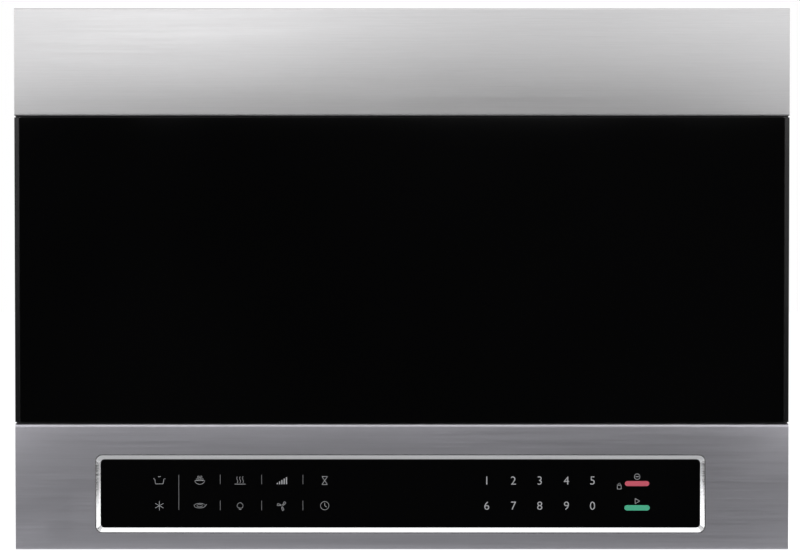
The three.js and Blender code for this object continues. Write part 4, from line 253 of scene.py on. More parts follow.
def cells(parts, link, stretch):
    """A crystal or pebble pattern: its distances and a random tone for each cell."""
    pattern = parts.new("ShaderNodeTexVoronoi")
    pattern.inputs["Scale"].default_value = 1
    link(placed(parts, link, stretch), pattern.inputs["Vector"])
    split = parts.new("ShaderNodeSeparateColor")
    link(pattern.outputs["Color"], split.inputs[0])
    return pattern.outputs["Distance"], split.outputs[0]


def toned(parts, link, factor, dark, light):
    """One colour carried to another by a factor."""
    blend = parts.new("ShaderNodeMix")
    blend.data_type = "RGBA"
    link(factor, blend.inputs[0])
    for socket, colour in ((6, dark), (7, light)):
        blend.inputs[socket].default_value = (*colour, 1)
    return blend.outputs[2]


def raised(parts, link, height, depth):
    """Bump from a height, deep at most as many metres."""
    bump = parts.new("ShaderNodeBump")
    bump.inputs["Distance"].default_value = depth
    link(height, bump.inputs["Height"])
    return bump.outputs[0]


def joined_and_smoothed(limit):
    """Joins a CAD piece's loose triangles and shades it smooth where they meet at a small angle."""
    group = bpy.data.node_groups.new("joined_and_smoothed", "GeometryNodeTree")
    for way in ("INPUT", "OUTPUT"):
        group.interface.new_socket("Geometry", in_out=way, socket_type="NodeSocketGeometry")
    parts, link = group.nodes, group.links.new
    flow = parts.new("NodeGroupInput").outputs[0]
    for attribute in ("custom_normal", "sharp_face", "sharp_edge"):
        drop = parts.new("GeometryNodeRemoveAttribute")
        drop.inputs["Name"].default_value = attribute
        link(flow, drop.inputs["Geometry"])
        flow = drop.outputs["Geometry"]
    merge = parts.new("GeometryNodeMergeByDistance")
    merge.inputs["Distance"].default_value = 0.01 * MM
    link(flow, merge.inputs["Geometry"])
    faces = parts.new("GeometryNodeSetShadeSmooth")
    link(merge.outputs[0], faces.inputs["Geometry"])
    bend = parts.new("GeometryNodeInputMeshEdgeAngle")
    shallow = parts.new("FunctionNodeCompare")
    shallow.operation = "LESS_THAN"
    shallow.inputs[1].default_value = math.radians(limit)
    link(bend.outputs["Unsigned Angle"], shallow.inputs[0])
    edges = parts.new("GeometryNodeSetShadeSmooth")
    edges.domain = "EDGE"
    link(faces.outputs[0], edges.inputs["Geometry"])
    link(shallow.outputs[0], edges.inputs["Shade Smooth"])
    link(edges.outputs[0], parts.new("NodeGroupOutput").inputs[0])
    return group


SMOOTHED = joined_and_smoothed(32)
SHARP = math.radians(50)


def dress(look, *names, edge=0.3, segments=2):
    """CAD pieces take a finish, and their sharp edges a small round of as many millimetres."""
    for name in names:
        piece = nodes[name]
        piece.data.materials.clear()
        piece.data.materials.append(look)
        piece.modifiers.new("smoothed", "NODES").node_group = SMOOTHED
        if edge:
            eased = piece.modifiers.new("eased", "BEVEL")
            eased.width = edge * MM
            eased.segments = segments
            eased.limit_method = "ANGLE"
            eased.angle_limit = SHARP
            eased.harden_normals = True


galvanised, shader, parts, link = finish_of("galvanised")
shader.inputs["Metallic"].default_value = 0.85
crystal = cells(parts, link, 120)[1]
fine = grain(parts, link, 700)
blotch, speck = spread(parts, link, crystal, 0, 0.7, 0, 1), spread(parts, link, fine, 0, 0.3)
tone = reckon(parts, link, "ADD", blotch, speck)
link(toned(parts, link, tone, (0.4, 0.41, 0.42), (0.54, 0.55, 0.56)), shader.inputs["Base Color"])
link(spread(parts, link, crystal, 0.36, 0.6, 0, 1), shader.inputs["Roughness"])
link(raised(parts, link, fine, 0.01 * MM), shader.inputs["Normal"])
dress(galvanised, "wall_plate", "rear_panel", edge=0.25)

# ------------------------------------------------------------------ case
# One folded sheet over a base plate and a front frame, powder-coated in a satin charcoal and held
# by plated pan-head screws. The supply cord leaves through a moulded bushing in the top.

case_paint, shader, parts, link = finish_of("case_paint")
peel = grain(parts, link, 1100, 2)
cloud = grain(parts, link, 12, 2)
link(toned(parts, link, spread(parts, link, cloud, 0, 1), (0.022, 0.0225, 0.024), (0.028, 0.029, 0.031)),
     shader.inputs["Base Color"])
link(spread(parts, link, peel, 0.4, 0.52), shader.inputs["Roughness"])
link(raised(parts, link, peel, 0.03 * MM), shader.inputs["Normal"])
dress(case_paint, "outer_wrap", "base_plate", "front_frame", edge=0.25)


def moulded(name, dark, light, roughness=(0.42, 0.56), texture=0.02):
    """Moulded plastic with a fine spark-eroded texture."""
    look, shader, parts, link = finish_of(name)
    fine = grain(parts, link, 1500, 2)
    cloud = grain(parts, link, 20, 2)
    link(toned(parts, link, spread(parts, link, cloud, 0, 1), dark, light), shader.inputs["Base Color"])
    link(spread(parts, link, fine, *roughness), shader.inputs["Roughness"])
    link(raised(parts, link, fine, texture * MM), shader.inputs["Normal"])
    return look


black_plastic = moulded("black_plastic", (0.012, 0.012, 0.0125), (0.016, 0.016, 0.017))
dress(black_plastic, "cord_bushing")


def metal(name, dark, light, roughness, stretch=400):
    """Bare or plated metal with a fine grain."""
    look, shader, parts, link = finish_of(name)
    shader.inputs["Metallic"].default_value = 1
    fine = grain(parts, link, stretch)
    cloud = grain(parts, link, 15, 2)
    drift, speck = spread(parts, link, cloud, 0, 0.6), spread(parts, link, fine, 0, 0.4)
    tone = reckon(parts, link, "ADD", drift, speck)
    link(toned(parts, link, tone, dark, light), shader.inputs["Base Color"])
    link(spread(parts, link, fine, *roughness), shader.inputs["Roughness"])
    link(raised(parts, link, fine, 0.008 * MM), shader.inputs["Normal"])
    return look


steel = metal("steel", (0.42, 0.43, 0.44), (0.55, 0.56, 0.57), (0.28, 0.42))
FACING = {
    "-x": Matrix.Rotation(-math.pi / 2, 4, "Y"), "+x": Matrix.Rotation(math.pi / 2, 4, "Y"),
    "-z": Matrix.Rotation(math.pi, 4, "X"), "+z": Matrix.Identity(4),
}
HEAD = 4.0 * MM  # radius
HEAD_SIDES = 12  # as many as the corners of the cross
HEAD_PROFILE = ((0.98, 0), (1, 0.28), (0.86, 0.5), (0.48, 0.62))  # radius and height, in radii
RECESS_ARM, RECESS_HALF = 0.4, 0.1  # in radii
RECESS_PROFILE = ((0.62, 1), (0.3, 0.6))  # height, in radii, and share of the width


def edges_of(verts):
    """Each edge that meets any of the vertices, once and always in the same order."""
    return list(dict.fromkeys(e for v in verts for e in v.link_edges))


def screw_head(bm, place, radius):
    """Pan head: rings bridged into a dome, with a cross recess sunk in its crown."""
    rings = []
    for share, height in HEAD_PROFILE:
        level = place @ Matrix.Translation((0, 0, radius * height))
        circle = bmesh.ops.create_circle(bm, segments=HEAD_SIDES, radius=radius * share, matrix=level)
        rings.append(circle["verts"])
    arm, half = radius * RECESS_ARM, radius * RECESS_HALF
    for depth, narrow in RECESS_PROFILE:
        cross = []
        for quarter in range(4):
            turn = place @ Matrix.Rotation(quarter * math.pi / 2, 4, "Z")
            for x, y in ((arm, -half), (arm, half), (half, half)):
                cross.append(bm.verts.new(turn @ Vector((x * narrow, y * narrow, radius * depth))))
        for i in range(HEAD_SIDES):
            bm.edges.new((cross[i - 1], cross[i]))
        rings.append(cross)
    for low, high in zip(rings, rings[1:]):
        around = edges_of(low + high)
        loops = [e for e in around if all(v in low for v in e.verts) or all(v in high for v in e.verts)]
        bmesh.ops.bridge_loops(bm, edges=loops)
    bm.faces.new(rings[-1])
    bm.faces.new(rings[0])


def screws(name, look, facing, places, body, radius=HEAD):
    """Like screws on one body, at points in millimetres on the face that they hold."""
    bm = bmesh.new()
    for point in places:
        screw_head(bm, Matrix.Translation(Vector(point) * MM) @ FACING[facing], radius)
    bmesh.ops.recalc_face_normals(bm, faces=bm.faces)
    heads = piece_of(name, bm, look, smooth=40)
    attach(heads, body)


CASE_SIDE, CASE_TOP, CASE_BASE = 300, 212, -208
REAR_SEAM, FRONT_SEAM = -20, -338
side_places = [(REAR_SEAM, z) for z in (-190, 0, 190)] + [(FRONT_SEAM, -196)]
base_places = [(x, y, CASE_BASE) for x in (-290, 290) for y in (REAR_SEAM, -200, FRONT_SEAM)]
screws("side_screws_left", steel, "-x", [(-CASE_SIDE, y, z) for y, z in side_places], "case")
screws("side_screws_right", steel, "+x", [(CASE_SIDE, y, z) for y, z in side_places], "case")
screws("top_screws", steel, "+z", [(x, -17, CASE_TOP) for x in (-270, -160, 160, 292)], "case")
screws("base_screws", steel, "-z", base_places, "case")

# ------------------------------------------------------------------ oven
# A drawn and welded box with a baked enamel, a lamp behind a patch of holes and a mica sheet over
# the port of its waveguide.

enamel, shader, parts, link = finish_of("enamel")
shader.inputs["Coat Weight"].default_value = 0.3
shader.inputs["Coat Roughness"].default_value = 0.2
fleck = cells(parts, link, 900)[1]
peel = grain(parts, link, 500, 2)
fleck = spread(parts, link, fleck, 0, 1, 0.75, 0.95)
link(toned(parts, link, fleck, (0.55, 0.555, 0.54), (0.42, 0.42, 0.41)), shader.inputs["Base Color"])
link(spread(parts, link, peel, 0.3, 0.42), shader.inputs["Roughness"])
link(raised(parts, link, peel, 0.02 * MM), shader.inputs["Normal"])
dress(enamel, "cavity", edge=0.25)

mica, shader, parts, link = finish_of("mica")
flake = cells(parts, link, 260)[1]
link(toned(parts, link, flake, (0.36, 0.3, 0.2), (0.52, 0.45, 0.32)), shader.inputs["Base Color"])
link(spread(parts, link, flake, 0.3, 0.55, 0, 1), shader.inputs["Roughness"])
dress(mica, "waveguide_cover", edge=0.05)
dress(galvanised, "waveguide", "latch_bracket")

lamp_glass, shader, parts, link = finish_of("lamp_glass")
shader.inputs["Transmission Weight"].default_value = 0.5
frost = grain(parts, link, 300, 2)
link(toned(parts, link, spread(parts, link, frost, 0, 1), (0.8, 0.76, 0.66), (0.88, 0.84, 0.74)),
     shader.inputs["Base Color"])
link(spread(parts, link, frost, 0.1, 0.25), shader.inputs["Roughness"])
dress(lamp_glass, "cavity_lamp", "cooktop_lamp")

# ------------------------------------------------------------------ microwave source and its cooling
# Magnetron, transformer and capacitor in the bay right of the oven, with the fan that cools them.

BAND_PERIOD = 0.314  # metres from band to band of a wave texture whose scale is 1


def banded(name, dark, light, along, pitch, metallic, roughness):
    """Stacked sheets or laid wire: fine bands across an axis, a pitch in millimetres apart."""
    look, shader, parts, link = finish_of(name)
    shader.inputs["Metallic"].default_value = metallic
    bands = parts.new("ShaderNodeTexWave")
    bands.bands_direction = along
    bands.inputs["Scale"].default_value = BAND_PERIOD / (pitch * MM)
    bands.inputs["Distortion"].default_value = 0.4
    bands.inputs["Detail"].default_value = 1
    link(placed(parts, link, 1), bands.inputs["Vector"])
    link(toned(parts, link, bands.outputs["Fac"], dark, light), shader.inputs["Base Color"])
    link(spread(parts, link, bands.outputs["Fac"], *roughness, 0, 1), shader.inputs["Roughness"])
    link(raised(parts, link, bands.outputs["Fac"], 0.1 * MM), shader.inputs["Normal"])
    return look


lamination = banded("lamination", (0.05, 0.05, 0.055), (0.12, 0.12, 0.13), "Y", 1.2, 0.5, (0.5, 0.7))
winding = banded("winding", (0.16, 0.05, 0.02), (0.45, 0.17, 0.07), "Z", 1.4, 0.8, (0.3, 0.45))
aluminium = metal("aluminium", (0.58, 0.59, 0.6), (0.7, 0.71, 0.72), (0.3, 0.45))
grey_plastic = moulded("grey_plastic", (0.24, 0.25, 0.26), (0.29, 0.3, 0.31))
dress(lamination, "transformer_core")
dress(winding, "transformer_primary", "transformer_secondary", edge=1.2, segments=3)
dress(aluminium, "magnetron_anode", "hv_capacitor", edge=0.2)
dress(galvanised, "magnetron_yoke", "magnetron_filter_box")
dress(black_plastic, "cooling_fan_shroud")
dress(grey_plastic, "cooling_fan", edge=0.2)

# ------------------------------------------------------------------ extraction
# A double volute of galvanised sheet with a squirrel-cage wheel on each end of the motor's shaft. It
# blows up through a collar with a damper flap.

dress(galvanised, "blower_housing", "exhaust_collar", edge=0.2)
dress(galvanised, "blower_wheel_left", "blower_wheel_right", edge=0)
dress(steel, "blower_motor", edge=0.6)
dress(steel, "blower_shaft", edge=0.2)
dress(aluminium, "damper_flap", edge=0.2)
COLLAR_HEAD = 1.6 * MM  # radius
screws("collar_screws", steel, "+z", [(x, -17.2, CASE_TOP) for x in (-124, 124)], "case", COLLAR_HEAD)

# ------------------------------------------------------------------ turntable
# A glass dish, pressed here with its rings and lugs, on a wire ring with three nylon rollers. A lobed
# coupler on a flat gear motor drives it.

white_plastic = moulded("white_plastic", (0.72, 0.71, 0.67), (0.78, 0.77, 0.73), (0.34, 0.48))
dress(white_plastic, "drive_coupler", "roller_ring", "roller_1", "roller_2", "roller_3", edge=0.25)
dress(steel, "turntable_motor")

tray_glass, shader, parts, link = finish_of("tray_glass")
shader.inputs["Transmission Weight"].default_value = 0.9
shader.inputs["IOR"].default_value = 1.5
ripple = grain(parts, link, 60, 1)
link(toned(parts, link, spread(parts, link, ripple, 0, 1), (0.86, 0.94, 0.91), (0.93, 0.98, 0.96)),
     shader.inputs["Base Color"])
link(spread(parts, link, ripple, 0.02, 0.06), shader.inputs["Roughness"])


def ease(bm, edges, width):
    """Rounds edges of a mesh by a width."""
    bmesh.ops.bevel(bm, geom=edges, offset=width, segments=2, profile=0.5, affect="EDGES", material=-1)


TRAY_PROFILE = (  # radius and height
    (0, 0.2), (40, 0.2), (42, 0), (60, 0), (62, 0.2), (92, 0.2), (94, 0), (112, 0), (114, 0.2),
    (126, 0.3), (130, 0.8), (137, 3.6), (141.5, 6.4), (143.6, 9), (143.9, 10.6), (143.3, 11.7),
    (142, 12), (140.4, 11.2), (137, 8.6), (131, 5.9), (126, 5), (114, 4.8), (112, 4.4), (110, 4.8),
    (94, 4.8), (92, 4.4), (90, 4.8), (0, 4.8),
)
TRAY_AXIS = Vector((-32, -198, 0))
TRAY_HEIGHT, TRAY_STEPS = 12, 96
TRAY_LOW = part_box("glass_tray")[1][2] / MM - TRAY_HEIGHT
LUGS, LUG_SIZE, LUG_FROM_AXIS, LUG_BELOW, LUG_ROUND = 3, (6, 10, 4.8), 15, 2, 0.8
bm = bmesh.new()
rim = [bm.verts.new((TRAY_AXIS + Vector((r, 0, TRAY_LOW + z))) * MM) for r, z in TRAY_PROFILE]
for start, end in zip(rim, rim[1:]):
    bm.edges.new((start, end))
bmesh.ops.spin(
    bm, geom=bm.verts[:] + bm.edges[:], cent=TRAY_AXIS * MM, axis=(0, 0, 1),
    angle=2 * math.pi, steps=TRAY_STEPS, use_merge=True,
)
bmesh.ops.remove_doubles(bm, verts=bm.verts, dist=0.01 * MM)
for i in range(LUGS):
    hub = Matrix.Translation((TRAY_AXIS + Vector((0, 0, TRAY_LOW - LUG_BELOW))) * MM)
    turn = Matrix.Rotation((2 * i + 1) * math.pi / LUGS, 4, "Z")
    place = hub @ turn @ Matrix.Translation((LUG_FROM_AXIS * MM, 0, 0))
    size = Matrix.Diagonal((*(side * MM for side in LUG_SIZE), 1))
    lug = bmesh.ops.create_cube(bm, size=1, matrix=place @ size)["verts"]
    ease(bm, edges_of(lug), LUG_ROUND * MM)
bmesh.ops.recalc_face_normals(bm, faces=bm.faces)
tray = piece_of("pressed_glass_tray", bm, tray_glass, smooth=40)
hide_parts("glass_tray")
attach(tray, "turntable")

# ------------------------------------------------------------------ underside
# Two aluminium grease filters of expanded mesh in pressed frames, and a lens pressed in rows of
# small glass prisms, which hinges down under the cooktop lamp on a stub pin at each rear corner.

filter_frame = metal("filter_frame", (0.5, 0.51, 0.52), (0.62, 0.63, 0.64), (0.3, 0.42), 250)
dress(filter_frame, "grease_filter_left", "grease_filter_right", edge=0.4)

DIAMOND = (5.2, 10.4)
DIAMONDS = 70  # each way, before the cut
STRAND = 0.9
FILTER_RIM, MESH_RISE = 7, 4.5  # the frame's width round the mesh, and the mesh above its foot


def in_metres(bm):
    """Turns a mesh in millimetres into metres, with every face outwards."""
    bmesh.ops.scale(bm, verts=bm.verts, vec=(MM, MM, MM))
    bmesh.ops.recalc_face_normals(bm, faces=bm.faces)


def extrude(bm, faces, shift):
    """Moves faces by a shift and closes the way behind them with walls."""
    grown = bmesh.ops.extrude_face_region(bm, geom=faces)["geom"]
    bmesh.ops.translate(bm, verts=[v for v in grown if isinstance(v, bmesh.types.BMVert)], vec=shift)


def expanded_mesh(name, side, body):
    """Slit sheet pulled open into diamonds, cut to the filter's opening."""
    low, high = (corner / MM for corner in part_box(side))
    rim = FILTER_RIM
    window = (low.x + rim, high.x - rim, low.y + rim, high.y - rim)
    bm = bmesh.new()
    bmesh.ops.create_grid(bm, x_segments=DIAMONDS, y_segments=DIAMONDS, size=DIAMONDS / 2)
    bmesh.ops.rotate(bm, verts=bm.verts, matrix=Matrix.Rotation(math.pi / 4, 3, "Z"))
    root = math.sqrt(2)
    bmesh.ops.scale(bm, verts=bm.verts, vec=(DIAMOND[0] / root, DIAMOND[1] / root, 1))
    middle = Vector(((window[0] + window[1]) / 2, (window[2] + window[3]) / 2, low.z + MESH_RISE))
    bmesh.ops.translate(bm, verts=bm.verts, vec=middle)
    for point, way in (
        ((window[0], 0, 0), (-1, 0, 0)), ((window[1], 0, 0), (1, 0, 0)),
        ((0, window[2], 0), (0, -1, 0)), ((0, window[3], 0), (0, 1, 0)),
    ):
        sheet = bm.verts[:] + bm.edges[:] + bm.faces[:]
        bmesh.ops.bisect_plane(bm, geom=sheet, plane_co=point, plane_no=way, clear_outer=True)
    bmesh.ops.wireframe(
        bm, faces=bm.faces[:], thickness=STRAND, offset=0,
        use_replace=True, use_boundary=True, use_even_offset=True,
    )
    in_metres(bm)
    mesh_piece = piece_of(name, bm, filter_frame, smooth=20)
    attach(mesh_piece, body)


expanded_mesh("filter_mesh_left", "grease_filter_left", "filter_left")
expanded_mesh("filter_mesh_right", "grease_filter_right", "filter_right")

lens_glass, shader, parts, link = finish_of("lens_glass")
shader.inputs["Transmission Weight"].default_value = 0.5
shader.inputs["IOR"].default_value = 1.5
frost = grain(parts, link, 90, 2)
link(toned(parts, link, spread(parts, link, frost, 0, 1), (0.74, 0.76, 0.75), (0.8, 0.82, 0.81)),
     shader.inputs["Base Color"])
link(spread(parts, link, frost, 0.12, 0.2), shader.inputs["Roughness"])

LENS_LOW, LENS_HIGH = (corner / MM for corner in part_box("lamp_cover"))
HINGE = Vector((0, LENS_HIGH.y - 2, LENS_HIGH.z - 1.5))
HINGE_PIN, PIN_REACH, PIN_ROOT = 1.4, 2, 2
LENS_FACE = LENS_LOW.z + 0.3  # clear of the base plate when the lens hangs open
LENS_SHEET = 2.3
PRISMS = (26, 18)
KNUCKLE = (  # y and z about the hinge
    (-2, -6), (2, -6), (2, -0.3), (1.6, 0.8), (0.7, 1.4), (-0.7, 1.4), (-1.6, 0.8), (-2, -0.3),
)
KNUCKLE_LENGTH = 8
LENS_ROUND, PRISM_RISE, PIN_ROUND = 0.4, 0.7, 0.2

bm = bmesh.new()
ends = (LENS_LOW.x + PIN_REACH, LENS_HIGH.x - PIN_REACH)
plate = Matrix.Translation(((ends[0] + ends[1]) / 2, (LENS_LOW.y + LENS_HIGH.y) / 2, LENS_FACE))
size = Matrix.Diagonal((ends[1] - ends[0], LENS_HIGH.y - LENS_LOW.y, 1, 1))
bmesh.ops.create_grid(bm, x_segments=PRISMS[0], y_segments=PRISMS[1], size=0.5, matrix=plate @ size)
extrude(bm, bm.faces[:], (0, 0, LENS_SHEET))
bmesh.ops.recalc_face_normals(bm, faces=bm.faces)
ease(bm, [e for e in bm.edges if e.calc_face_angle(0) > 1], LENS_ROUND)
inner = [f for f in bm.faces if f.normal.z > 0.99]
bmesh.ops.poke(bm, faces=inner, offset=PRISM_RISE)
for end, out in zip(ends, (-1, 1)):
    profile = [bm.verts.new(HINGE + Vector((end, y, z))) for y, z in KNUCKLE]
    extrude(bm, [bm.faces.new(profile)], (-out * KNUCKLE_LENGTH, 0, 0))
    axle = Matrix.Translation(HINGE + Vector((end + out * (PIN_REACH - PIN_ROOT) / 2, 0, 0)))
    pin = bmesh.ops.create_cone(
        bm, cap_ends=True, segments=16, radius1=HINGE_PIN, radius2=HINGE_PIN, depth=PIN_REACH + PIN_ROOT,
        matrix=axle @ Matrix.Rotation(math.pi / 2, 4, "Y"),
    )["verts"]
    ease(bm, [e for e in edges_of(pin) if e.calc_face_angle(0) > 1], PIN_ROUND)
in_metres(bm)
prismatic_lens = piece_of("prismatic_lens", bm, lens_glass, smooth=25)
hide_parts("lamp_cover")
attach(prismatic_lens, "lamp_cover")

# ------------------------------------------------------------------ interlock
# Three snap-action switches on a bracket behind the front frame, whose red plungers the latch hooks
# press when the door shuts.

red_plastic = moulded("red_plastic", (0.4, 0.025, 0.02), (0.48, 0.035, 0.03))
dress(black_plastic, "switch_primary", "switch_secondary", "switch_monitor", edge=0.4)
dress(red_plastic, "plunger_primary", "plunger_secondary", "plunger_monitor", edge=0.2)

# ------------------------------------------------------------------ vent band
# Folded stainless steel, brushed along its length, over a black louvre insert. The outlet slots face
# up, and a charcoal filter sits behind.

ALONG = (1, 0.02, 0.013)  # the brushing, a hair off the X axis so that end faces have one too


def brushed(name, dark, light):
    """Stainless steel brushed lengthwise, which smears its gloss across the brushing."""
    look, shader, parts, link = finish_of(name)
    shader.inputs["Metallic"].default_value = 1
    shader.inputs["Anisotropic"].default_value = 0.65
    across = parts.new("ShaderNodeVectorMath")
    across.operation = "CROSS_PRODUCT"
    link(parts.new("ShaderNodeNewGeometry").outputs["True Normal"], across.inputs[0])
    across.inputs[1].default_value = ALONG
    link(across.outputs[0], shader.inputs["Tangent"])
    scratch = grain(parts, link, (9, 9, 1700), 4, 0.7)
    hair = grain(parts, link, (60, 60, 4000), 3, 0.6)
    drift = grain(parts, link, (4, 4, 16), 2)
    tone = spread(parts, link, drift, 0, 0.3)
    for mark, share in ((scratch, 0.4), (hair, 0.3)):
        tone = reckon(parts, link, "ADD", tone, spread(parts, link, mark, 0, share))
    link(toned(parts, link, tone, dark, light), shader.inputs["Base Color"])
    link(spread(parts, link, scratch, 0.36, 0.46), shader.inputs["Roughness"])
    link(raised(parts, link, scratch, 0.004 * MM), shader.inputs["Normal"])
    return look


brushed_steel = brushed("brushed_steel", (0.487, 0.483, 0.489), (0.603, 0.598, 0.605))
dress(brushed_steel, "vent_cover", edge=0.5)
dress(black_plastic, "vent_grille")
charcoal, shader, parts, link = finish_of("charcoal")
pebble, tone = cells(parts, link, 420)
link(toned(parts, link, tone, (0.008, 0.008, 0.008), (0.035, 0.035, 0.036)), shader.inputs["Base Color"])
link(spread(parts, link, tone, 0.5, 0.95, 0, 1), shader.inputs["Roughness"])
link(raised(parts, link, pebble, -1.2 * MM), shader.inputs["Normal"])
dress(charcoal, "charcoal_filter", edge=0.4)

# ------------------------------------------------------------------ control band
# Folded and brushed like the vent band, in a copy of its steel made a little darker and bluer, which paints
# shade and a bluish reflection onto the lower band. A polished frame holds black touch glass with its legends
# screened on the front, and the board sits behind.

# a darker, bluer copy of the vent band's steel: painted shade and a painted bluish reflection on the fascia
fascia_steel = brushed("fascia_steel", (0.468, 0.461, 0.499), (0.582, 0.573, 0.62))
dress(fascia_steel, "control_fascia", edge=0.5)

polished, shader, parts, link = finish_of("polished")
shader.inputs["Metallic"].default_value = 1
haze = grain(parts, link, (30, 30, 900), 2)
link(toned(parts, link, spread(parts, link, haze, 0, 1), (0.64, 0.64, 0.65), (0.7, 0.7, 0.71)),
     shader.inputs["Base Color"])
link(spread(parts, link, haze, 0.08, 0.16), shader.inputs["Roughness"])
dress(polished, "control_bezel", edge=0.15)

black_glass, shader, parts, link = finish_of("black_glass")
cloud = grain(parts, link, 6, 1)
drift = toned(parts, link, spread(parts, link, cloud, 0, 1), (0.0016, 0.0016, 0.0017), (0.002, 0.002, 0.0021))
link(drift, shader.inputs["Base Color"])
link(spread(parts, link, cloud, 0.02, 0.05), shader.inputs["Roughness"])
dress(black_glass, "touch_glass", edge=0.3)

board_green, shader, parts, link = finish_of("board_green")
trace = grain(parts, link, (60, 60, 300), 4)
track = spread(parts, link, trace, 0, 1, 0.45, 0.55)
link(toned(parts, link, track, (0.01, 0.07, 0.03), (0.02, 0.12, 0.05)), shader.inputs["Base Color"])
link(spread(parts, link, trace, 0.3, 0.5), shader.inputs["Roughness"])
dress(board_green, "control_board")

GLASS_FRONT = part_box("touch_glass")[0][1]
INK = 0.06 * MM
PILL_STEPS = 8


def ink(name, dark, light):
    """Screen-printed ink, a little uneven."""
    look, shader, parts, link = finish_of(name)
    speck = grain(parts, link, 2500, 2)
    link(toned(parts, link, spread(parts, link, speck, 0, 1), dark, light), shader.inputs["Base Color"])
    link(spread(parts, link, speck, 0.45, 0.6), shader.inputs["Roughness"])
    return look


white_ink = ink("white_ink", (0.36, 0.36, 0.37), (0.44, 0.44, 0.45))
grey_ink = ink("grey_ink", (0.2, 0.2, 0.205), (0.26, 0.26, 0.265))
red_ink = ink("red_ink", (0.56, 0.075, 0.115), (0.66, 0.1, 0.15))
green_ink = ink("green_ink", (0.05, 0.42, 0.24), (0.07, 0.5, 0.29))


def on_glass(name, bm, look):
    """Printed work, drawn in millimetres in X and Z, laid on the front of the touch glass."""
    bmesh.ops.recalc_face_normals(bm, faces=bm.faces)
    print_ = piece_of(name, bm, look, smooth=20)
    print_.data.transform(Matrix.Translation((0, GLASS_FRONT, 0)) @ Matrix.Diagonal((MM, 1, MM, 1)))
    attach(print_, "case")


def bar(bm, x, z, width, height, turn=0.0):
    """A flat stroke about a point, turned in the plane of the glass."""
    place = Matrix.Translation((x, -INK / 2, z)) @ Matrix.Rotation(-turn, 4, "Y")
    bmesh.ops.create_cube(bm, size=1, matrix=place @ Matrix.Diagonal((width, INK, height, 1)))


def stroke(bm, x, z, points, thick=0.34):
    """A line through points, about a place."""
    for (x0, z0), (x1, z1) in zip(points, points[1:]):
        length = math.hypot(x1 - x0, z1 - z0) + thick * 0.8
        bar(bm, x + (x0 + x1) / 2, z + (z0 + z1) / 2, length, thick, math.atan2(z1 - z0, x1 - x0))


def ring_points(radius, start=0, end=360, steps=12, squash=1.0):
    """Points on an arc or ellipse, between two angles in degrees."""
    turns = [math.radians(start + (end - start) * i / steps) for i in range(steps + 1)]
    return [(radius * math.cos(t), squash * radius * math.sin(t)) for t in turns]


def pill(bm, x, z, width, height):
    """A flat bar with round ends."""
    outline = []
    for side in (1, -1):
        for step in range(PILL_STEPS + 1):
            turn = math.radians(180 / PILL_STEPS * step - 90 * side)
            middle = x + side * (width - height) / 2
            outline.append((middle + height / 2 * math.cos(turn), z + height / 2 * math.sin(turn)))
    face = bm.faces.new([bm.verts.new((px, 0, pz)) for px, pz in outline])
    extrude(bm, [face], (0, -INK, 0))


ROWS = (-157.9, -177.7)
DIGIT_X = (66.6, 87.5, 108.2, 129.2, 149.6)
DIGIT_HEIGHT, CAP_SHARE, THINNER = 6.9, 0.73, 0.05


def digits(name):
    """Numerals 1 to 9 and 0 in two rows, as flat text turned into a mesh."""
    bm = bmesh.new()
    for i, sign in enumerate("1234567890"):
        curve = bpy.data.curves.new("numeral", "FONT")
        curve.body = sign
        curve.align_x = "CENTER"
        curve.size = DIGIT_HEIGHT / CAP_SHARE
        curve.extrude = INK / 2
        curve.resolution_u = 4
        curve.offset = -THINNER
        text = bpy.data.objects.new("numeral", curve)
        bpy.context.scene.collection.objects.link(text)
        flat = bpy.data.meshes.new_from_object(text.evaluated_get(bpy.context.evaluated_depsgraph_get()))
        flat.transform(Matrix.Rotation(math.pi / 2, 4, "X"))
        low = min(v.co.z for v in flat.vertices)
        high = max(v.co.z for v in flat.vertices)
        shift = Vector((DIGIT_X[i % 5], -INK / 2, ROWS[i // 5] - (low + high) / 2))
        flat.transform(Matrix.Translation(shift))
        bm.from_mesh(flat)
        bpy.data.objects.remove(text)
        bpy.data.curves.remove(curve)
        bpy.data.meshes.remove(flat)
    bmesh.ops.remove_doubles(bm, verts=bm.verts, dist=0.0001)
    on_glass(name, bm, white_ink)


digits("numeral_legends")

# two rows of plain symbols: a pot, popcorn, steam, rising power and an hourglass over a snowflake,
# a turning plate, a lamp, a fan and a clock
KEY_X = (-190.4, -158.7, -127.0, -94.2, -60.6)
bm = bmesh.new()
pot = [(-3.6, 1.4), (-3, -2.6), (3, -2.6), (3.6, 1.4), (-3.6, 1.4)]
stroke(bm, KEY_X[0], ROWS[0], pot)
stroke(bm, KEY_X[0], ROWS[0], [(-4.6, 1.4), (4.6, 1.4)])
stroke(bm, KEY_X[0], ROWS[0], [(-1, 3), (1, 3)])
bowl = ring_points(3.8, 180, 360, 8, 0.8)
stroke(bm, KEY_X[1], ROWS[0], bowl + [bowl[0]])
for dx, dz in ((-2, 1), (0, 1.4), (2, 1), (-1, 2.8), (1.1, 2.9)):
    stroke(bm, KEY_X[1] + dx, ROWS[0] + dz, ring_points(0.8, 0, 360, 6), 0.28)
stroke(bm, KEY_X[2], ROWS[0], [(-4.2, -2.8), (4.2, -2.8)])
for dx in (-2.2, 0, 2.2):
    wave = [(dx + 0.5 * math.sin(t), -1.6 + 0.72 * t) for t in (0, 1.1, 2.2, 3.3, 4.4, 5.5, 6.3)]
    stroke(bm, KEY_X[2], ROWS[0], wave)
for i in range(5):
    bar(bm, KEY_X[3] - 3.6 + 1.8 * i, ROWS[0] - 2.9 + 0.55 * (i + 1), 0.9, 1.1 * (i + 1))
stroke(bm, KEY_X[4], ROWS[0], [(-2.2, 3.2), (2.2, 3.2), (-2.2, -3.2), (2.2, -3.2), (-2.2, 3.2)])
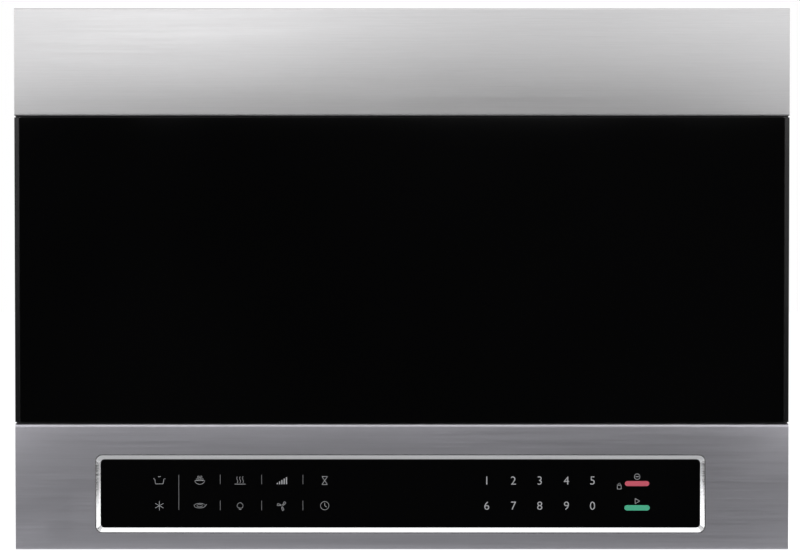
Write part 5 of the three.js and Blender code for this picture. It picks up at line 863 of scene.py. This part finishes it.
for turn in (0, 60, 120):
    c, s = math.cos(math.radians(turn + 30)), math.sin(math.radians(turn + 30))
    stroke(bm, KEY_X[0], ROWS[1], [(-3.6 * c, -3.6 * s), (3.6 * c, 3.6 * s)])
stroke(bm, KEY_X[1], ROWS[1], ring_points(4.4, 0, 360, 16, 0.42))
stroke(bm, KEY_X[1], ROWS[1], ring_points(2.2, 0, 360, 12, 0.42))
stroke(bm, KEY_X[1] + 4.4, ROWS[1], [(-0.9, 1.1), (0, 0), (1, 1)])
bulb = ring_points(2.3, 235, -55, 12)
stroke(bm, KEY_X[2], ROWS[1], [(-1.1, -1.9), (-1.1, -0.9)] + bulb + [(1.1, -1.9), (-1.1, -1.9)])
stroke(bm, KEY_X[2], ROWS[1] - 2.9, [(-0.9, 0), (0.9, 0)])
for turn in (0, 120, 240):
    blade = Matrix.Rotation(math.radians(turn), 2)
    leaf = [blade @ Vector(p) for p in ((0.4, 0.4), (1.9, 3.2), (3.2, 2.2), (1.1, 0.2))]
    stroke(bm, KEY_X[3], ROWS[1], [tuple(p) for p in leaf])
stroke(bm, KEY_X[4], ROWS[1], ring_points(3.3, 0, 360, 16))
stroke(bm, KEY_X[4], ROWS[1], [(0, 2.1), (0, 0), (1.5, -0.9)])
on_glass("function_legends", bm, white_ink)

bm = bmesh.new()
bar(bm, -175.1, -167.25, 0.35, 27.6)
for x in (-142.6, -110.1, -77.7):
    bar(bm, x, -157.1, 0.3, 7.4)
    bar(bm, x, -177.5, 0.3, 7.6)
on_glass("legend_rules", bm, grey_ink)

STOP_X, LOCK_X = 184.6, 170.6
bm = bmesh.new()
stroke(bm, STOP_X, -154.9, ring_points(2.3, 22.5, 382.5, 8), 0.4)
stroke(bm, STOP_X, -154.9, [(-1.1, 0), (1.1, 0)], 0.45)
stroke(bm, STOP_X, -174.1, [(-1.5, 2.1), (2.1, 0), (-1.5, -2.1), (-1.5, 2.1)], 0.4)
stroke(bm, LOCK_X, -162.6, [(-1.5, -2), (1.5, -2), (1.5, 1), (-1.5, 1), (-1.5, -2)], 0.4)
stroke(bm, LOCK_X, -161.6, ring_points(1.1, 0, 180, 6, 1.5), 0.36)
on_glass("start_stop_legends", bm, white_ink)
bm = bmesh.new()
pill(bm, STOP_X, -160.3, 19.2, 4.0)
on_glass("stop_pill", bm, red_ink)
bm = bmesh.new()
pill(bm, STOP_X, -179.4, 20.0, 4.2)
on_glass("start_pill", bm, green_ink)

# ------------------------------------------------------------------ door
# Black back-painted glass bonded over a moulded frame, with a pressed choke, a perforated screen
# and a snap-on cover inside. It turns on two riveted pins at its left. Hooks on a carrier catch at its
# right, over a wound spring that stands on the door.

dress(black_glass, "door_glass", edge=0.2)
door_plastic = moulded(
    "door_plastic", (0.008, 0.008, 0.0085), (0.011, 0.011, 0.0115), roughness=(0.16, 0.22), texture=0.005
)
dress(door_plastic, "door_frame", edge=0.4)
dress(black_plastic, "choke_cover", edge=0.4)
dress(galvanised, "door_choke", edge=0.2)
dress(case_paint, "upper_hinge_plate", "lower_hinge_plate", edge=0.2)
dress(grey_plastic, "latch_hooks", edge=0.2)

SPRING_LOW, SPRING_HIGH = (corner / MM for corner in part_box("latch_spring"))
COIL, WIRE = 3.4, 0.55  # radii
TURNS, CLOSED_TURNS, CLOSED_PITCH = 6, 1, 2.1 * WIRE
TURN_STEPS, WIRE_SIDES = 16, 8
bm = bmesh.new()
climb = SPRING_HIGH.z - SPRING_LOW.z - 2 * WIRE
pitch = (climb - 2 * CLOSED_TURNS * CLOSED_PITCH) / (TURNS - 2 * CLOSED_TURNS)
centre = (SPRING_LOW + SPRING_HIGH) / 2
rings = []
for step in range(TURNS * TURN_STEPS + 1):
    turns = step / TURN_STEPS
    shut_turns = min(turns, CLOSED_TURNS) + max(turns - TURNS + CLOSED_TURNS, 0)
    rise = shut_turns * CLOSED_PITCH + (turns - shut_turns) * pitch
    outward = Vector((math.cos(2 * math.pi * turns), math.sin(2 * math.pi * turns), 0))
    middle = Vector((centre.x, centre.y, SPRING_LOW.z + WIRE + rise)) + COIL * outward
    ring = []
    for corner in range(WIRE_SIDES):
        turn = corner * 2 * math.pi / WIRE_SIDES
        round_wire = math.cos(turn) * outward + Vector((0, 0, math.sin(turn)))
        ring.append(bm.verts.new(middle + WIRE * round_wire))
    rings.append(ring)
for ring, after in zip(rings, rings[1:]):
    for corner in range(WIRE_SIDES):
        bm.faces.new((ring[corner - 1], ring[corner], after[corner], after[corner - 1]))
bm.faces.new(rings[0])
bm.faces.new(rings[-1])
in_metres(bm)
spring = piece_of("wound_latch_spring", bm, steel, smooth=50)
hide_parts("latch_spring")
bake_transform(spring)

screen, shader, parts, link = finish_of("perforated_screen")
HOLE_PITCH = 2.6  # millimetres
dots = parts.new("ShaderNodeTexVoronoi")
dots.inputs["Scale"].default_value = 1
dots.inputs["Randomness"].default_value = 0
link(placed(parts, link, (1000 / HOLE_PITCH, 0, 1000 / HOLE_PITCH)), dots.inputs["Vector"])
hole = spread(parts, link, dots.outputs["Distance"], 1, 0, 0.3, 0.36)
link(toned(parts, link, hole, (0.03, 0.03, 0.031), (0.0015, 0.0015, 0.0015)), shader.inputs["Base Color"])
link(spread(parts, link, hole, 0.45, 0.9, 0, 1), shader.inputs["Roughness"])
link(raised(parts, link, dots.outputs["Distance"], 0.2 * MM), shader.inputs["Normal"])
dress(screen, "window_screen", edge=0.1)

# ------------------------------------------------------------------ shut strips
# A black weather strip behind the lips of each steel band, bonded to the case. It closes the gap over
# and under the door, so that no light shows through from behind.

SHUT_LINES = {"upper_shut_strip": (126.95, 129.5), "lower_shut_strip": (-115.5, -111.95)}
STRIP_WIDTH, STRIP_THICK, STRIP_Y, STRIP_ROUND = 605.8, 0.4, -385.75, 0.1
for name, (low, high) in SHUT_LINES.items():
    bm = bmesh.new()
    size = Matrix.Diagonal((STRIP_WIDTH * MM, STRIP_THICK * MM, (high - low) * MM, 1))
    middle = Matrix.Translation(Vector((0, STRIP_Y, (low + high) / 2)) * MM)
    bmesh.ops.create_cube(bm, size=1, matrix=middle @ size)
    ease(bm, bm.edges[:], STRIP_ROUND * MM)
    strip = piece_of(name, bm, black_plastic)
    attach(strip, "case")
